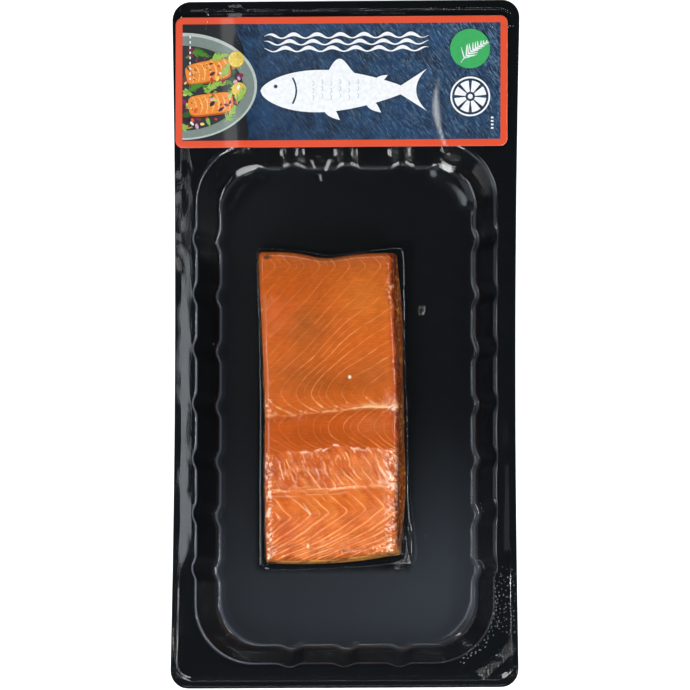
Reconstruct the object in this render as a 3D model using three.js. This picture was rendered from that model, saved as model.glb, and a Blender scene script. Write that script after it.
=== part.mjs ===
// A portion of hot smoked salmon sealed in a vacuum skin pack, lying flat with its shown side up.
// A black tray, pressed from one thin sheet, has a wide flange round a recess with ribbed walls.
// The portion lies on the recess floor. A clear film covers the whole tray and hugs the fish,
// and a printed label is stuck on the film, on the flange's broad end.
// Millimetres, +X to the right and +Y towards the label end, +Z up.
// The origin is the middle of the pack's outline, on the surface that the tray stands on.
import * as THREE from "three";

// The pack's outline and its sheet
const packWidth = 139.8;
const packLength = 276.5;
const packCorner = 7.4;
const waistPull = 1.6; // each long edge is drawn in this far at mid length by the shrinking film
const sheet = 0.8;
const flangeTop = 14.8;
const lipDrop = 0.7; // the trimmed rim lies a step lower than the sealing flange
const lipAtSides = 2.2;
const lipAtEnds = 3.7;
const lipStep = 0.6;

// The recess, measured where its wall leaves the flange
const recessWidth = 119.4;
const recessLength = 209.4;
const recessCorner = 24;
const recessY = -23.6;
const wallRun = 8.3; // how far the wall slopes in from flange to floor
const floorCorner = 18;
const ribPitch = 22.1;
const ribsAlongSide = 7;
const ribsAlongEnd = 3;
const ribDepth = 1.5;
const ribFoot = 10.4; // width of a rib where it leaves the wall
const ribCrest = 3.2; // width of its flat outer part

// Film and label
const film = 0.3;
const gap = 0.3; // clearance between parts that touch
const peelLift = 1.6; // the film stands off the tray at the corner where it is peeled
const labelWidth = 133.4;
const labelHeight = 52.6;
const labelCorner = 3;
const labelSheet = 0.3;
const labelX = -1.6;
const labelY = 105.4;

// The portion: its outline at the crest, where the flesh turns down, and at the foot, where it lies.
// Each side is a curve through a few values at even steps: left and right give x from the plain end
// to the label end, bottom and top give y from left to right.
const crest = {
  left: [-31.6, -31.9, -31.9, -33.2, -34.9],
  right: [20.6, 21.1, 21.6, 21.2, 20, 18.8],
  bottom: [-86.6, -86.6, -85.4, -83.2],
  top: [37.3, 36.8, 34.5, 36.1, 36.5],
};
const foot = {
  left: [-31.9, -32.2, -32.2, -33.5, -35.2],
  right: [21.4, 23.4, 22.8, 22.3, 22, 19.8],
  bottom: [-86.9, -87.2, -86.2, -83.8],
  top: [37.8, 37.3, 35, 36.6, 37],
};
// Where the film leaves the fish and meets the floor of the tray
const tent = {
  left: [-36.6, -36.4, -36.2, -36.4, -37.4],
  right: [31.5, 27.4, 25.8, 24.4, 24.4, 25.4],
  bottom: [-90.8, -90.2, -89.6, -88.8],
  top: [40, 38.4, 36.7, 38.4, 41.2],
};
const fishWidth = 54;
const fishLength = 123;
const crestCorner = 1.6;
const tentCorner = 3.5;
// Thickness of the portion along the fish's height, from the belly edge to the back edge
const thickness = [
  [-88, 12.4], [-80, 14.6], [-68, 16.2], [-52, 17.2], [-36, 18],
  [-18, 18.9], [4, 19.2], [20, 17.6], [31, 15], [38, 12.6],
];
const crown = 1.3; // the top is this much lower along its two long edges
// Connective bands that cross the portion as shallow grooves: where each lies, its slant and its depth
const bands = [
  { y: -27.5, slant: 0.06, depth: 0.5, width: 1.3 },
  { y: -44, slant: 0.03, depth: 0.75, width: 1.2 },
  { y: -57.9, slant: 0.03, depth: 0.6, width: 1.3 },
];
const shoulderDrop = 2.1; // how far the edge lies below the top
const shoulderInset = [0.7, 2.4]; // the shoulder's two bends, from the edge in
const flank = 0.5; // how far the cut sides bulge

const floorTop = sheet;
const fishBase = floorTop + gap;
const recessDepth = flangeTop - floorTop;

// A smooth curve through values at even steps, read at t from 0 to 1
function through(values) {
  const curve = new THREE.SplineCurve(values.map((value, i) => new THREE.Vector2(i, value)));
  return (t) => curve.getPoint(Math.min(Math.max(t, 0), 1)).y;
}

function lerp(a, b, t) {
  return a + (b - a) * t;
}

function smooth(t) {
  const k = Math.min(Math.max(t, 0), 1);
  return k * k * (3 - 2 * k);
}

// Rings: every surface here is a stack of closed rings with the same number of points.
// A ring runs anticlockwise from above, as side, corner, side, corner, and so on.
// A station says where on the ring a point is: on a side, at share f from -1 to 1, or on a corner, at a.
// The left side has the right side's stops at the same heights, so that the two meet when a ring closes.
function stationsOf(sideStops, endStops, cornerSteps) {
  const stations = [];
  const sides = [
    { side: "bottom", stops: endStops },
    { side: "right", stops: sideStops },
    { side: "top", stops: endStops },
    { side: "left", stops: sideStops.map((f) => -f).reverse() },
  ];
  sides.forEach(({ side, stops }, quarter) => {
    stops.forEach((f) => stations.push({ side, f, quarter }));
    for (let i = 1; i < cornerSteps; i++) {
      stations.push({ side: "corner", a: i / cornerSteps, quarter });
    }
  });
  return stations;
}

// Both ends of each straight stretch, and the four bends of every rib between them, as shares of reach
function ribStops(count, reach) {
  const stops = [-reach];
  for (let i = 0; i < count; i++) {
    const middle = (i - (count - 1) / 2) * ribPitch;
    stops.push(middle - ribFoot / 2, middle - ribCrest / 2, middle + ribCrest / 2, middle + ribFoot / 2);
  }
  stops.push(reach);
  return stops.map((s) => s / reach);
}

const sideReach = recessLength / 2 - recessCorner - 2;
const endReach = recessWidth / 2 - recessCorner - 2;
const trayStations = stationsOf(ribStops(ribsAlongSide, sideReach), ribStops(ribsAlongEnd, endReach), 7);

// How far the ribs push the wall out, at a distance along it from the middle of its side
function ribOut(along, count) {
  const limit = ((count - 1) / 2) * ribPitch + ribFoot / 2;
  if (Math.abs(along) >= limit) return 0;
  const shift = ((count - 1) / 2) * ribPitch;
  const off = Math.abs(along + shift - ribPitch * Math.round((along + shift) / ribPitch));
  return ribDepth * Math.min(Math.max((ribFoot / 2 - off) / ((ribFoot - ribCrest) / 2), 0), 1);
}

// A rounded rectangle as a ring. rib is the share of the rib depth that it shows.
function trayRing({ halfX, halfY, corner, centreY, z, rib = 0, waist = 0, lift = 0 }) {
  return trayStations.map((station) => {
    const { side, f, a, quarter } = station;
    let x;
    let y;
    if (side === "corner") {
      const turn = (quarter - 1 + a) * (Math.PI / 2);
      const sx = quarter === 0 || quarter === 1 ? 1 : -1;
      const sy = quarter === 0 || quarter === 3 ? -1 : 1;
      x = sx * (halfX - corner) + corner * Math.cos(turn);
      y = centreY + sy * (halfY - corner) + corner * Math.sin(turn);
    } else if (side === "bottom" || side === "top") {
      const way = side === "bottom" ? 1 : -1;
      const reach = Math.abs(f) === 1 ? halfX - corner : endReach;
      x = way * f * reach;
      y = centreY - way * (halfY + rib * ribOut(f * endReach, ribsAlongEnd));
    } else {
      const way = side === "right" ? 1 : -1;
      const along = way * f * (Math.abs(f) === 1 ? halfY - corner : sideReach);
      x = way * (halfX + rib * ribOut(f * sideReach, ribsAlongSide));
      y = (Math.abs(f) === 1 ? centreY : recessY) + along;
    }
    const drawnIn = waist * (1 - (y / (packLength / 2)) ** 2);
    const atPeel = lift * smooth((x / halfX - y / halfY - 1.6) / 0.25);
    return new THREE.Vector3(x - Math.sign(x) * drawnIn * smooth(Math.abs(x) / 40), y, z + atPeel);
  });
}

// The line at the middle of the recess onto which a ring shrinks, so that a floor closes without slivers
function traySpine(z) {
  const half = (recessLength - recessWidth) / 2;
  return trayStations.map(({ side, f, quarter }) => {
    const end = quarter === 0 || quarter === 3 ? -1 : 1;
    if (side === "right") return new THREE.Vector3(0, recessY + f * half, z);
    if (side === "left") return new THREE.Vector3(0, recessY - f * half, z);
    if (side === "corner") return new THREE.Vector3(0, recessY + end * half, z);
    return new THREE.Vector3(0, recessY + (side === "bottom" ? -half : half), z);
  });
}

// Rings joined into one closed surface, from the middle of its underside round to the middle of its top
function loft(rings) {
  const positions = [];
  const touches = (a, b) => a.distanceToSquared(b) < 1e-6;
  const face = (a, b, c) => {
    if (touches(a, b) || touches(b, c) || touches(c, a)) return;
    positions.push(a.x, a.y, a.z, b.x, b.y, b.z, c.x, c.y, c.z);
  };
  for (let r = 0; r + 1 < rings.length; r++) {
    const low = rings[r];
    const high = rings[r + 1];
    for (let i = 0; i < low.length; i++) {
      const j = (i + 1) % low.length;
      face(low[i], low[j], high[j]);
      face(low[i], high[j], high[i]);
    }
  }
  const geometry = new THREE.BufferGeometry();
  geometry.setAttribute("position", new THREE.Float32BufferAttribute(positions, 3));
  geometry.computeVertexNormals();
  return geometry;
}

// The tray's profile from the flange to the floor. in is the distance in from the recess's own outline.
const wallProfile = [
  { in: 0, z: flangeTop },
  { in: 0.9, z: flangeTop - 0.7 },
  { in: wallRun - 2.2, z: flangeTop - recessDepth + 2.2 },
  { in: wallRun, z: floorTop },
];

// That profile moved off the sheet by a distance along its own normal, up for a positive one
function movedWall(distance) {
  return wallProfile.map((point, i) => {
    const before = wallProfile[i - 1] ?? { in: point.in - 1, z: point.z };
    const after = wallProfile[i + 1] ?? { in: point.in + 1, z: point.z };
    const ahead = new THREE.Vector2(after.in - point.in, after.z - point.z).normalize();
    const behind = new THREE.Vector2(point.in - before.in, point.z - before.z).normalize();
    const normal = new THREE.Vector2(-(ahead.y + behind.y), ahead.x + behind.x).normalize();
    const reach = distance / Math.sqrt((1 + ahead.dot(behind)) / 2);
    return { in: point.in + normal.x * reach, z: point.z + normal.y * reach };
  });
}

// The tray's rings from its edge in to the floor, at a distance off the sheet's top
function trayRings(distance, lift = 0) {
  const rim = { halfX: packWidth / 2, halfY: packLength / 2, corner: packCorner, centreY: 0 };
  const lipIn = (extra) => ({
    halfX: packWidth / 2 - lipAtSides - extra,
    halfY: packLength / 2 - lipAtEnds - extra,
    corner: packCorner - 1,
    centreY: 0,
    waist: waistPull,
  });
  const rings = [
    trayRing({ ...rim, z: flangeTop - lipDrop + distance, waist: waistPull, lift }),
    trayRing({ ...lipIn(-0.2), z: flangeTop - lipDrop + distance, lift }),
    trayRing({ ...lipIn(lipStep), z: flangeTop + distance, lift }),
  ];
  movedWall(distance).forEach((point) => {
    const share = point.in / wallRun;
    rings.push(
      trayRing({
        halfX: recessWidth / 2 - point.in,
        halfY: recessLength / 2 - point.in,
        corner: lerp(recessCorner, floorCorner, share),
        centreY: recessY,
        z: point.z,
        rib: 1,
      }),
    );
  });
  return rings;
}

function trayGeometry() {
  const under = [...trayRings(-sheet), traySpine(floorTop - sheet)].reverse();
  const over = [...trayRings(0), traySpine(floorTop)];
  return loft([...under, ...over]);
}

// A point of the portion's plan from u across and v along, both 0 to 1, inside one of its outlines
function planPoint(outline, u, v) {
  const x = lerp(outline.leftAt(v), outline.rightAt(v), u);
  const y = lerp(outline.bottomAt(u), outline.topAt(u), v);
  return new THREE.Vector2(x, y);
}

[crest, foot, tent].forEach((outline) => {
  outline.leftAt = through(outline.left);
  outline.rightAt = through(outline.right);
  outline.bottomAt = through(outline.bottom);
  outline.topAt = through(outline.top);
});

// Where a station lies in the portion's plan, inset from the outline by so many millimetres.
// At scale below 1 the ring shrinks towards the portion's middle line.
function planStation({ side, f, a, quarter }, inset, corner, scale) {
  const du = inset / fishWidth;
  const dv = inset / fishLength;
  const cu = corner / fishWidth;
  const cv = corner / fishLength;
  const spine = (1 - fishWidth / fishLength) / 2;
  let u;
  let v;
  let middle;
  if (side === "corner") {
    const turn = (quarter - 1 + a) * (Math.PI / 2);
    const sx = quarter === 0 || quarter === 1 ? 1 : -1;
    const sy = quarter === 0 || quarter === 3 ? -1 : 1;
    u = 0.5 + sx * (0.5 - du - cu) + cu * Math.cos(turn);
    v = 0.5 + sy * (0.5 - dv - cv) + cv * Math.sin(turn);
    middle = 0.5 + sy * spine;
  } else if (side === "bottom" || side === "top") {
    const way = side === "bottom" ? 1 : -1;
    u = 0.5 + way * f * (0.5 - du - cu);
    v = 0.5 - way * (0.5 - dv);
    middle = 0.5 - way * spine;
  } else {
    const way = side === "right" ? 1 : -1;
    u = 0.5 + way * (0.5 - du);
    v = 0.5 + way * f * (0.5 - dv - cv);
    middle = 0.5 + way * f * spine;
  }
  return { u: lerp(0.5, u, scale), v: lerp(middle, v, scale) };
}

const thicknessAt = (y) => {
  const last = thickness.length - 1;
  const i = Math.min(Math.max(thickness.findIndex(([at]) => at > y) - 1, 0), last - 1);
  const [y0, z0] = thickness[i];
  const [y1, z1] = thickness[i + 1];
  const share = Math.min(Math.max((y - y0) / (y1 - y0), 0), 1);
  return lerp(z0, z1, (smooth(share) + share) / 2);
};

// Height of the flesh over the tray's floor, without the grooves
function fleshTop(u, y) {
  return thicknessAt(y) - crown * (2 * u - 1) ** 2;
}

function grooves(x, y) {
  let depth = 0;
  bands.forEach((band) => {
    const off = (y - band.y - band.slant * x) / band.width;
    depth = Math.max(depth, band.depth * Math.exp(-off * off));
  });
  return depth;
}

// A ring of the portion or of the film over it. It lies between two outlines, from and to, at share toShare,
// pushed out by bulge. Its height goes from the flesh's, less drop and plus over, to z.
function fishRing(stations, settings) {
  const { from, to = from, toShare = 0, inset = 0, scale = 1 } = settings;
  const { bulge = 0, drop = 0, z = null, over = 0 } = settings;
  const corner = from === tent ? tentCorner : crestCorner;
  return stations.map((station) => {
    const at = planStation(station, inset, corner, scale);
    const start = planPoint(from, at.u, at.v);
    const end = planPoint(to, at.u, at.v);
    const outX = bulge * Math.sign(at.u - 0.5) * smooth((Math.abs(at.u - 0.5) - 0.45) / 0.04);
    const outY = bulge * Math.sign(at.v - 0.5) * smooth((Math.abs(at.v - 0.5) - 0.475) / 0.02);
    const x = lerp(start.x, end.x, toShare) + outX;
    const y = lerp(start.y, end.y, toShare) + outY;
    const top = fishBase + fleshTop(at.u, y) - drop + over;
    const cut = over > 0 ? 0 : grooves(x, y);
    return new THREE.Vector3(x, y, z === null ? top - cut : lerp(top, z, toShare));
  });
}

// Along its sides the portion has a point at each band's two lips and bottom, and others evenly between
function fishStations() {
  const stops = new Set();
  const steps = 26;
  for (let i = 0; i <= steps; i++) stops.add(-1 + (2 * i) / steps);
  bands.forEach((band) => {
    const f = (2 * (band.y - crest.bottom[0])) / fishLength - 1;
    const lip = (3 * band.width) / fishLength;
    [f - lip, f, f + lip].forEach((stop) => stops.add(stop));
  });
  const side = [...stops].sort((a, b) => a - b).filter((f, i, all) => i === 0 || f - all[i - 1] > 0.012);
  side[side.length - 1] = 1;
  const end = Array.from({ length: 13 }, (_, i) => -1 + i / 6);
  return stationsOf(side, end, 3);
}

function fishGeometry() {
  const stations = fishStations();
  const flat = (scale) =>
    fishRing(stations, { from: foot, to: foot, toShare: 1, inset: 1, scale, z: fishBase });
  const cutSide = { from: crest, to: foot, drop: shoulderDrop, z: fishBase };
  const sides = [0.96, 0.6, 0.25].map((share) =>
    fishRing(stations, { ...cutSide, toShare: share, bulge: flank * Math.sin(Math.PI * share) }),
  );
  const shoulder = [
    fishRing(stations, { from: crest, drop: shoulderDrop }),
    fishRing(stations, { from: crest, inset: shoulderInset[0], drop: shoulderDrop * 0.4 }),
    fishRing(stations, { from: crest, inset: shoulderInset[1], drop: shoulderDrop * 0.08 }),
  ];
  const scales = [0.84, 0.66, 0.48, 0.3, 0.14, 0];
  const top = scales.map((scale) => fishRing(stations, { from: crest, inset: shoulderInset[1], scale }));
  return loft([flat(0), flat(1), ...sides, ...shoulder, ...top]);
}

// The film lies on the tray, leaves its floor at the tent line and closes over the portion.
function filmFace(distance) {
  const lying = trayRings(gap + distance, peelLift);
  const floor = floorTop + gap + distance;
  const out = gap + distance;
  const onFloor = fishRing(trayStations, { from: tent, toShare: 1, to: tent, z: floor, bulge: distance });
  const closed = { from: crest, over: 0.5 + out };
  const atShoulder = fishRing(trayStations, { ...closed, drop: shoulderDrop, bulge: out + 0.2 });
  return [
    ...lying,
    onFloor,
    halfway(onFloor, atShoulder, 0.55),
    atShoulder,
    fishRing(trayStations, { ...closed, inset: shoulderInset[0], drop: shoulderDrop * 0.4 }),
    fishRing(trayStations, { ...closed, inset: shoulderInset[1] }),
    fishRing(trayStations, { ...closed, inset: shoulderInset[1], scale: 0.62 }),
    fishRing(trayStations, { ...closed, inset: shoulderInset[1], scale: 0 }),
  ];
}

function halfway(ringA, ringB, share) {
  return ringA.map((point, i) => point.clone().lerp(ringB[i], share));
}

function filmGeometry() {
  return loft([...filmFace(0).reverse(), ...filmFace(film)]);
}

function labelGeometry() {
  const x = labelWidth / 2;
  const y = labelHeight / 2;
  const r = labelCorner;
  const shape = new THREE.Shape();
  shape.moveTo(-x + r, -y);
  shape.lineTo(x - r, -y);
  shape.absarc(x - r, -y + r, r, -Math.PI / 2, 0);
  shape.lineTo(x, y - r);
  shape.absarc(x - r, y - r, r, 0, Math.PI / 2);
  shape.lineTo(-x + r, y);
  shape.absarc(-x + r, y - r, r, Math.PI / 2, Math.PI);
  shape.lineTo(-x, -y + r);
  shape.absarc(-x + r, -y + r, r, Math.PI, 1.5 * Math.PI);
  return new THREE.ExtrudeGeometry(shape, { depth: labelSheet, bevelEnabled: false, curveSegments: 6 });
}

function part(name, geometry, material) {
  const mesh = new THREE.Mesh(geometry, new THREE.MeshStandardMaterial(material));
  mesh.name = name;
  return mesh;
}

const pack = new THREE.Group();
pack.add(part("tray", trayGeometry(), { color: 0x14171a, roughness: 0.25, metalness: 0 }));
pack.add(part("salmon_fillet", fishGeometry(), { color: 0xd0702c, roughness: 0.3, metalness: 0 }));
const clear = { color: 0xe8eef0, roughness: 0.08, metalness: 0, transparent: true, opacity: 0.25 };
pack.add(part("skin_film", filmGeometry(), clear));
const label = part("label", labelGeometry(), { color: 0x1f3b5c, roughness: 0.35, metalness: 0 });
label.position.set(labelX, labelY, flangeTop + gap + film + gap);
pack.add(label);

export default pack;
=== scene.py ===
import bmesh
import bpy
import numpy as np
from mathutils import Matrix, Vector


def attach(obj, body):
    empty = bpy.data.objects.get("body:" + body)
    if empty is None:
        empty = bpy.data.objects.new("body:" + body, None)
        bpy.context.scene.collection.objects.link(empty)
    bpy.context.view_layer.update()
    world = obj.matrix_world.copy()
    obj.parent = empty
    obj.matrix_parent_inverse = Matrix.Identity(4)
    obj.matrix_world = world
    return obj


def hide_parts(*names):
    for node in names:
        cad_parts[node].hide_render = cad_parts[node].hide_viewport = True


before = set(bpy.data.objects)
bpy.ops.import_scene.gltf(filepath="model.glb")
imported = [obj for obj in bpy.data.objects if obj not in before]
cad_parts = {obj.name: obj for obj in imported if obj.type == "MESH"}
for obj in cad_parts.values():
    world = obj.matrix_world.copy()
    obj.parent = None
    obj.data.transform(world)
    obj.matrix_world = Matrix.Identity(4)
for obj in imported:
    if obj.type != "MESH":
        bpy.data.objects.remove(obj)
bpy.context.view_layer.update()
mm = 0.001


# Small tools


def linear(hexColour):
    # an sRGB hex colour as linear red, green, blue and alpha: the sRGB curve undone for each channel
    parts = [int(hexColour[i : i + 2], 16) / 255 for i in (1, 3, 5)]
    return (*[p / 12.92 if p <= 0.04045 else ((p + 0.055) / 1.055) ** 2.4 for p in parts], 1.0)


def smooth(t):
    # 0 below 0, 1 above 1, and 3t^2 - 2t^3 between
    k = np.clip(t, 0, 1)
    return k * k * (3 - 2 * k)


def hump(t):
    # a bell: e to the power of -t^2
    return np.exp(-t * t)


def table(at, pairs, blur):
    # straight lines between the pairs, averaged over a window of plus and minus blur
    xs, ys = zip(*sorted(pairs))
    return sum(np.interp(at + blur * k, xs, ys) for k in (-1, -0.5, 0, 0.5, 1)) / 5


def noise(x, y, size, seed):
    # value noise from -1 to 1: random numbers on a lattice of that size, eased between its corners
    lattice = np.random.default_rng(seed).uniform(-1, 1, (256, 256))
    gx = x / size + 97.3
    gy = y / size + 41.7
    ix = np.floor(gx).astype(int)
    iy = np.floor(gy).astype(int)
    fx = smooth(gx - ix)
    fy = smooth(gy - iy)
    low = lattice[ix % 256, iy % 256] * (1 - fx) + lattice[(ix + 1) % 256, iy % 256] * fx
    high = lattice[ix % 256, (iy + 1) % 256] * (1 - fx) + lattice[(ix + 1) % 256, (iy + 1) % 256] * fx
    return low * (1 - fy) + high * fy


def cloudy(x, y, size, seed):
    # noise plus itself at a half and a quarter of its size and height
    return sum(noise(x, y, size / 2**k, seed + k) / 2**k for k in range(3)) / 1.6


def addNode(tree, kind, settings=None, **inputs):
    # one node with its settings; each input is a number, another node, or one of its outputs.
    # i3 is the input at place 3, and an underscore stands for the space in a name
    made = tree.nodes.new(kind)
    for key, value in (settings or {}).items():
        setattr(made, key, value)
    for key, value in inputs.items():
        if key[0] == "i" and key[1:].isdigit():
            socket = made.inputs[int(key[1:])]
        else:
            socket = next(s for s in made.inputs if s.enabled and s.name == key.replace("_", " "))
        if isinstance(value, bpy.types.Node):
            value = next(s for s in value.outputs if s.enabled)
        if isinstance(value, bpy.types.NodeSocket):
            tree.links.new(value, socket)
        else:
            socket.default_value = value
    return made


def newMaterial(name):
    # an empty node material, its tree and its output node
    made = bpy.data.materials.new(name)
    made.use_nodes = True
    made.node_tree.nodes.clear()
    return made, made.node_tree, made.node_tree.nodes.new("ShaderNodeOutputMaterial")


def gridFaces(rows, columns, around):
    # four-sided faces that join neighbours of a grid of points, each row's end to its start where around
    index = np.arange(rows * columns).reshape(rows, columns)
    here = index if around else index[:, :-1]
    beside = np.roll(index, -1, axis=1) if around else index[:, 1:]
    return np.stack([here[:-1], beside[:-1], beside[1:], here[1:]], axis=-1).reshape(-1, 4)


def joinGrids(grids):
    # the points of several open grids as one list, their faces numbered on, and each grid's count of points
    counts = [grid.shape[0] * grid.shape[1] for grid in grids]
    starts = np.cumsum([0] + counts[:-1])
    faces = [gridFaces(*grid.shape[:2], False) + start for grid, start in zip(grids, starts)]
    return np.concatenate([grid.reshape(-1, 3) for grid in grids]), np.concatenate(faces), counts


def buildPiece(name, points, faces, attributes=None, material=None, slot=None, merge=True):
    # a mesh object from points in millimetres, with one value or colour for each point as attributes
    mesh = bpy.data.meshes.new(name)
    mesh.from_pydata((points.reshape(-1, 3) * mm).tolist(), [], faces.tolist())
    for key, values in (attributes or {}).items():
        if values.shape[-1] == 3 and values.size == points.size:
            layer = mesh.attributes.new(key, "FLOAT_COLOR", "POINT")
            colours = values.reshape(-1, 3)
            full = np.concatenate([colours, np.ones((len(colours), 1))], axis=1)
            layer.data.foreach_set("color", full.astype(np.float32).ravel())
        else:
            layer = mesh.attributes.new(key, "FLOAT", "POINT")
            layer.data.foreach_set("value", values.astype(np.float32).ravel())
    if merge:
        work = bmesh.new()
        work.from_mesh(mesh)
        bmesh.ops.remove_doubles(work, verts=work.verts, dist=1e-6)
        bmesh.ops.dissolve_degenerate(work, edges=work.edges, dist=1e-7)
        work.to_mesh(mesh)
        work.free()
    mesh.polygons.foreach_set("use_smooth", [True] * len(mesh.polygons))
    made = bpy.data.objects.new(name, mesh)
    bpy.context.scene.collection.objects.link(made)
    if material:
        mesh.materials.append(material)
    if slot:
        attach(made, "root")
    return made


# Camera: nearly straight above, a little to the right and towards the plain end, from far off

view = {
    "right": 0.0787,  # slopes of the line of sight
    "front": 0.1069,
    "distance": 8.0,  # metres, as all here
    "across": 0.276,  # width of the picture at the aim
    "roll": 0.0022,
    "sensor": 36,  # millimetres
    "aim": (0, -0.0006, 0.0148),
}


def makeCamera():
    # it looks along (-right, front, -1) at the aim, turned by a hair about that line
    aim = Vector(view["aim"])
    towards = Vector((view["right"], -view["front"], 1)).normalized()
    sideways = Vector((0, 1, 0)).cross(towards).normalized()
    turned = Matrix((sideways, towards.cross(sideways), towards)).transposed()
    data = bpy.data.cameras.new("camera")
    data.sensor_width = view["sensor"]
    data.lens = view["sensor"] * view["distance"] / view["across"]
    data.clip_end = 20
    camera = bpy.data.objects.new("camera", data)
    rolled = turned.to_4x4() @ Matrix.Rotation(view["roll"], 4, "Z")
    camera.matrix_world = Matrix.Translation(aim + towards * view["distance"]) @ rolled
    bpy.context.scene.collection.objects.link(camera)
    bpy.context.scene.camera = camera


# Stations: the points of every ring, anticlockwise from above. Sides and corners take turns,
# starting with the plain end. quarter says which, f runs along a side from -1 to 1,
# and a runs round a corner from 0 to 1


def makeStations(alongSide, alongEnd, alongCorner):
    # even steps along each side and round each corner
    rows = []
    for quarter, count in enumerate((alongEnd, alongSide, alongEnd, alongSide)):
        rows += [(quarter, 0, f, 0) for f in np.linspace(-1, 1, count)]
        rows += [(quarter, 1, 0, a) for a in np.linspace(0, 1, alongCorner + 1)[1:-1]]
    quarter, corner, f, a = np.array(rows).T
    return {"quarter": quarter.astype(int), "corner": corner > 0, "f": f, "a": a}


# The tray

pack = {
    "length": 276.5,
    "width": 139.8,
    "corner": 7.4,
    "waist": 1.6,  # each long edge is drawn in by this much at mid length
    "sheet": 0.8,
    "flangeTop": 14.8,
    "droop": 0.34,  # the flange's outer edge hangs this much lower than the recess's mouth
    "lipDrop": 0.7,
    "lipAtSides": 2.2,
    "lipAtEnds": 3.7,
    "recessWidth": 119.4,
    "recessLength": 209.4,
    "recessCorner": 24,
    "recessY": -23.6,
    "wallRun": 7.9,  # how far the wall slopes in from flange to floor
    "floorCorner": 18,
    "mouthRadius": 3.2,  # the flange rolls over into the wall
    "footRadius": 3.4,  # the wall runs out into the floor
    "ribPitch": 22.1,
    "ribDepth": 1.5,
    "ribFoot": 10.4,
    "ribCrest": 1.0,
    "ribsAlongSide": 7,
    "ribsAlongEnd": 3,
    "floorCrown": 0.22,  # the floor stands this much higher in its middle
    "stations": (170, 74, 24),  # points along a long side, along an end and round a corner
    "flangeRows": 15,
    "wallRows": 30,
    "floorRows": 24,
    # the trimmed edge, the lip and the step up to the flange: shares of the lip's width and of its drop
    "lip": [0, 0.15, 0.5, 0.8, 0.93, 1, 1.1, 1.25],
    "lipRise": [-0.25, -0.05, 0, 0, 0.15, 0.5, 0.9, 1],
}


def ribOut(along, count):
    # how far the ribs push the wall out: an eased rise to a narrow crest at each pitch
    shift = (count - 1) / 2 * pack["ribPitch"]
    limit = shift + pack["ribFoot"] / 2
    nearest = pack["ribPitch"] * np.round((along + shift) / pack["ribPitch"])
    off = np.abs(along + shift - nearest)
    rise = smooth((pack["ribFoot"] / 2 - off) / ((pack["ribFoot"] - pack["ribCrest"]) / 2))
    return np.where(np.abs(along) < limit, pack["ribDepth"] * rise, 0)


def roundedRings(stations, halfX, halfY, corner, centreY, z, rib, waist):
    # rounded rectangles with ribs, one for each entry of the size arrays, and one point for each station
    column = [np.asarray(v, float).reshape(-1, 1) for v in (halfX, halfY, corner, centreY, z, rib, waist)]
    halfX, halfY, corner, centreY, z, rib, waist = column
    q, onCorner, f, a = (stations[k][None, :] for k in ("quarter", "corner", "f", "a"))
    sx = np.where((q == 0) | (q == 1), 1, -1)
    sy = np.where((q == 0) | (q == 3), -1, 1)
    turn = (q - 1 + a) * np.pi / 2
    cornerX = sx * (halfX - corner) + corner * np.cos(turn)
    cornerY = centreY + sy * (halfY - corner) + corner * np.sin(turn)
    way = np.where(q <= 1, 1, -1)
    alongEnd = way * f * (halfX - corner)
    alongSide = way * f * (halfY - corner)
    endY = centreY - way * (halfY + rib * ribOut(alongEnd, pack["ribsAlongEnd"]))
    sideX = way * (halfX + rib * ribOut(alongSide + centreY - pack["recessY"], pack["ribsAlongSide"]))
    atEnd = (q == 0) | (q == 2)
    x = np.where(onCorner, cornerX, np.where(atEnd, alongEnd, sideX))
    y = np.where(onCorner, cornerY, np.where(atEnd, endY, centreY + alongSide))
    x = x - np.sign(x) * waist * (1 - (y / (pack["length"] / 2)) ** 2) * smooth(np.abs(x) / 40)
    return np.stack([x, y, z + 0 * x], axis=-1)


def bend(points, radius, steps):
    # a polyline of (in, height) pairs with its inner corners rounded, each by a quadratic curve
    points = [np.array(p, float) for p in points]
    out = [points[0]]
    for before, here, after, r in zip(points, points[1:], points[2:], radius):
        into = (before - here) / np.linalg.norm(before - here)
        away = (after - here) / np.linalg.norm(after - here)
        half = np.arccos(np.clip(into @ away, -1, 1)) / 2
        reach = r / np.tan(half)
        start = here + into * reach
        end = here + away * reach
        for t in np.linspace(0, 1, steps):
            out.append((1 - t) ** 2 * start + 2 * t * (1 - t) * here + t * t * end)
    return np.array(out + [points[-1]])


def evenly(line, count, bends):
    # the polyline again with count points, at even steps of its length plus bends for each radian it turns
    steps = np.diff(line, axis=0)
    heading = np.unwrap(np.arctan2(steps[:, 1], steps[:, 0]))
    turned = np.abs(np.diff(heading, prepend=heading[0]))
    measure = np.concatenate([[0], np.cumsum(np.linalg.norm(steps, axis=1) + bends * turned)])
    at = np.linspace(0, measure[-1], count)
    return np.stack([np.interp(at, measure, line[:, k]) for k in (0, 1)], axis=1)


def wallRings(stations, lift, mouthRadius, footRadius, count):
    # the recess's wall from its mouth to its foot, with more rings where it bends
    top = pack["flangeTop"]
    floor = pack["sheet"]
    corners = [(-6, top), (0, top), (pack["wallRun"], floor), (pack["wallRun"] + 12, floor)]
    wall = evenly(bend(corners, (mouthRadius, footRadius), 24)[1:-1], count, 5.0)
    into, height = wall[:, 0], wall[:, 1]
    share = np.clip(into / pack["wallRun"], 0, 1)
    return roundedRings(
        stations,
        pack["recessWidth"] / 2 - into,
        pack["recessLength"] / 2 - into,
        pack["recessCorner"] + (pack["floorCorner"] - pack["recessCorner"]) * share,
        pack["recessY"] + 0 * into,
        height + lift,
        smooth((into + 2) / 2),
        0 * into,
    )


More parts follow.
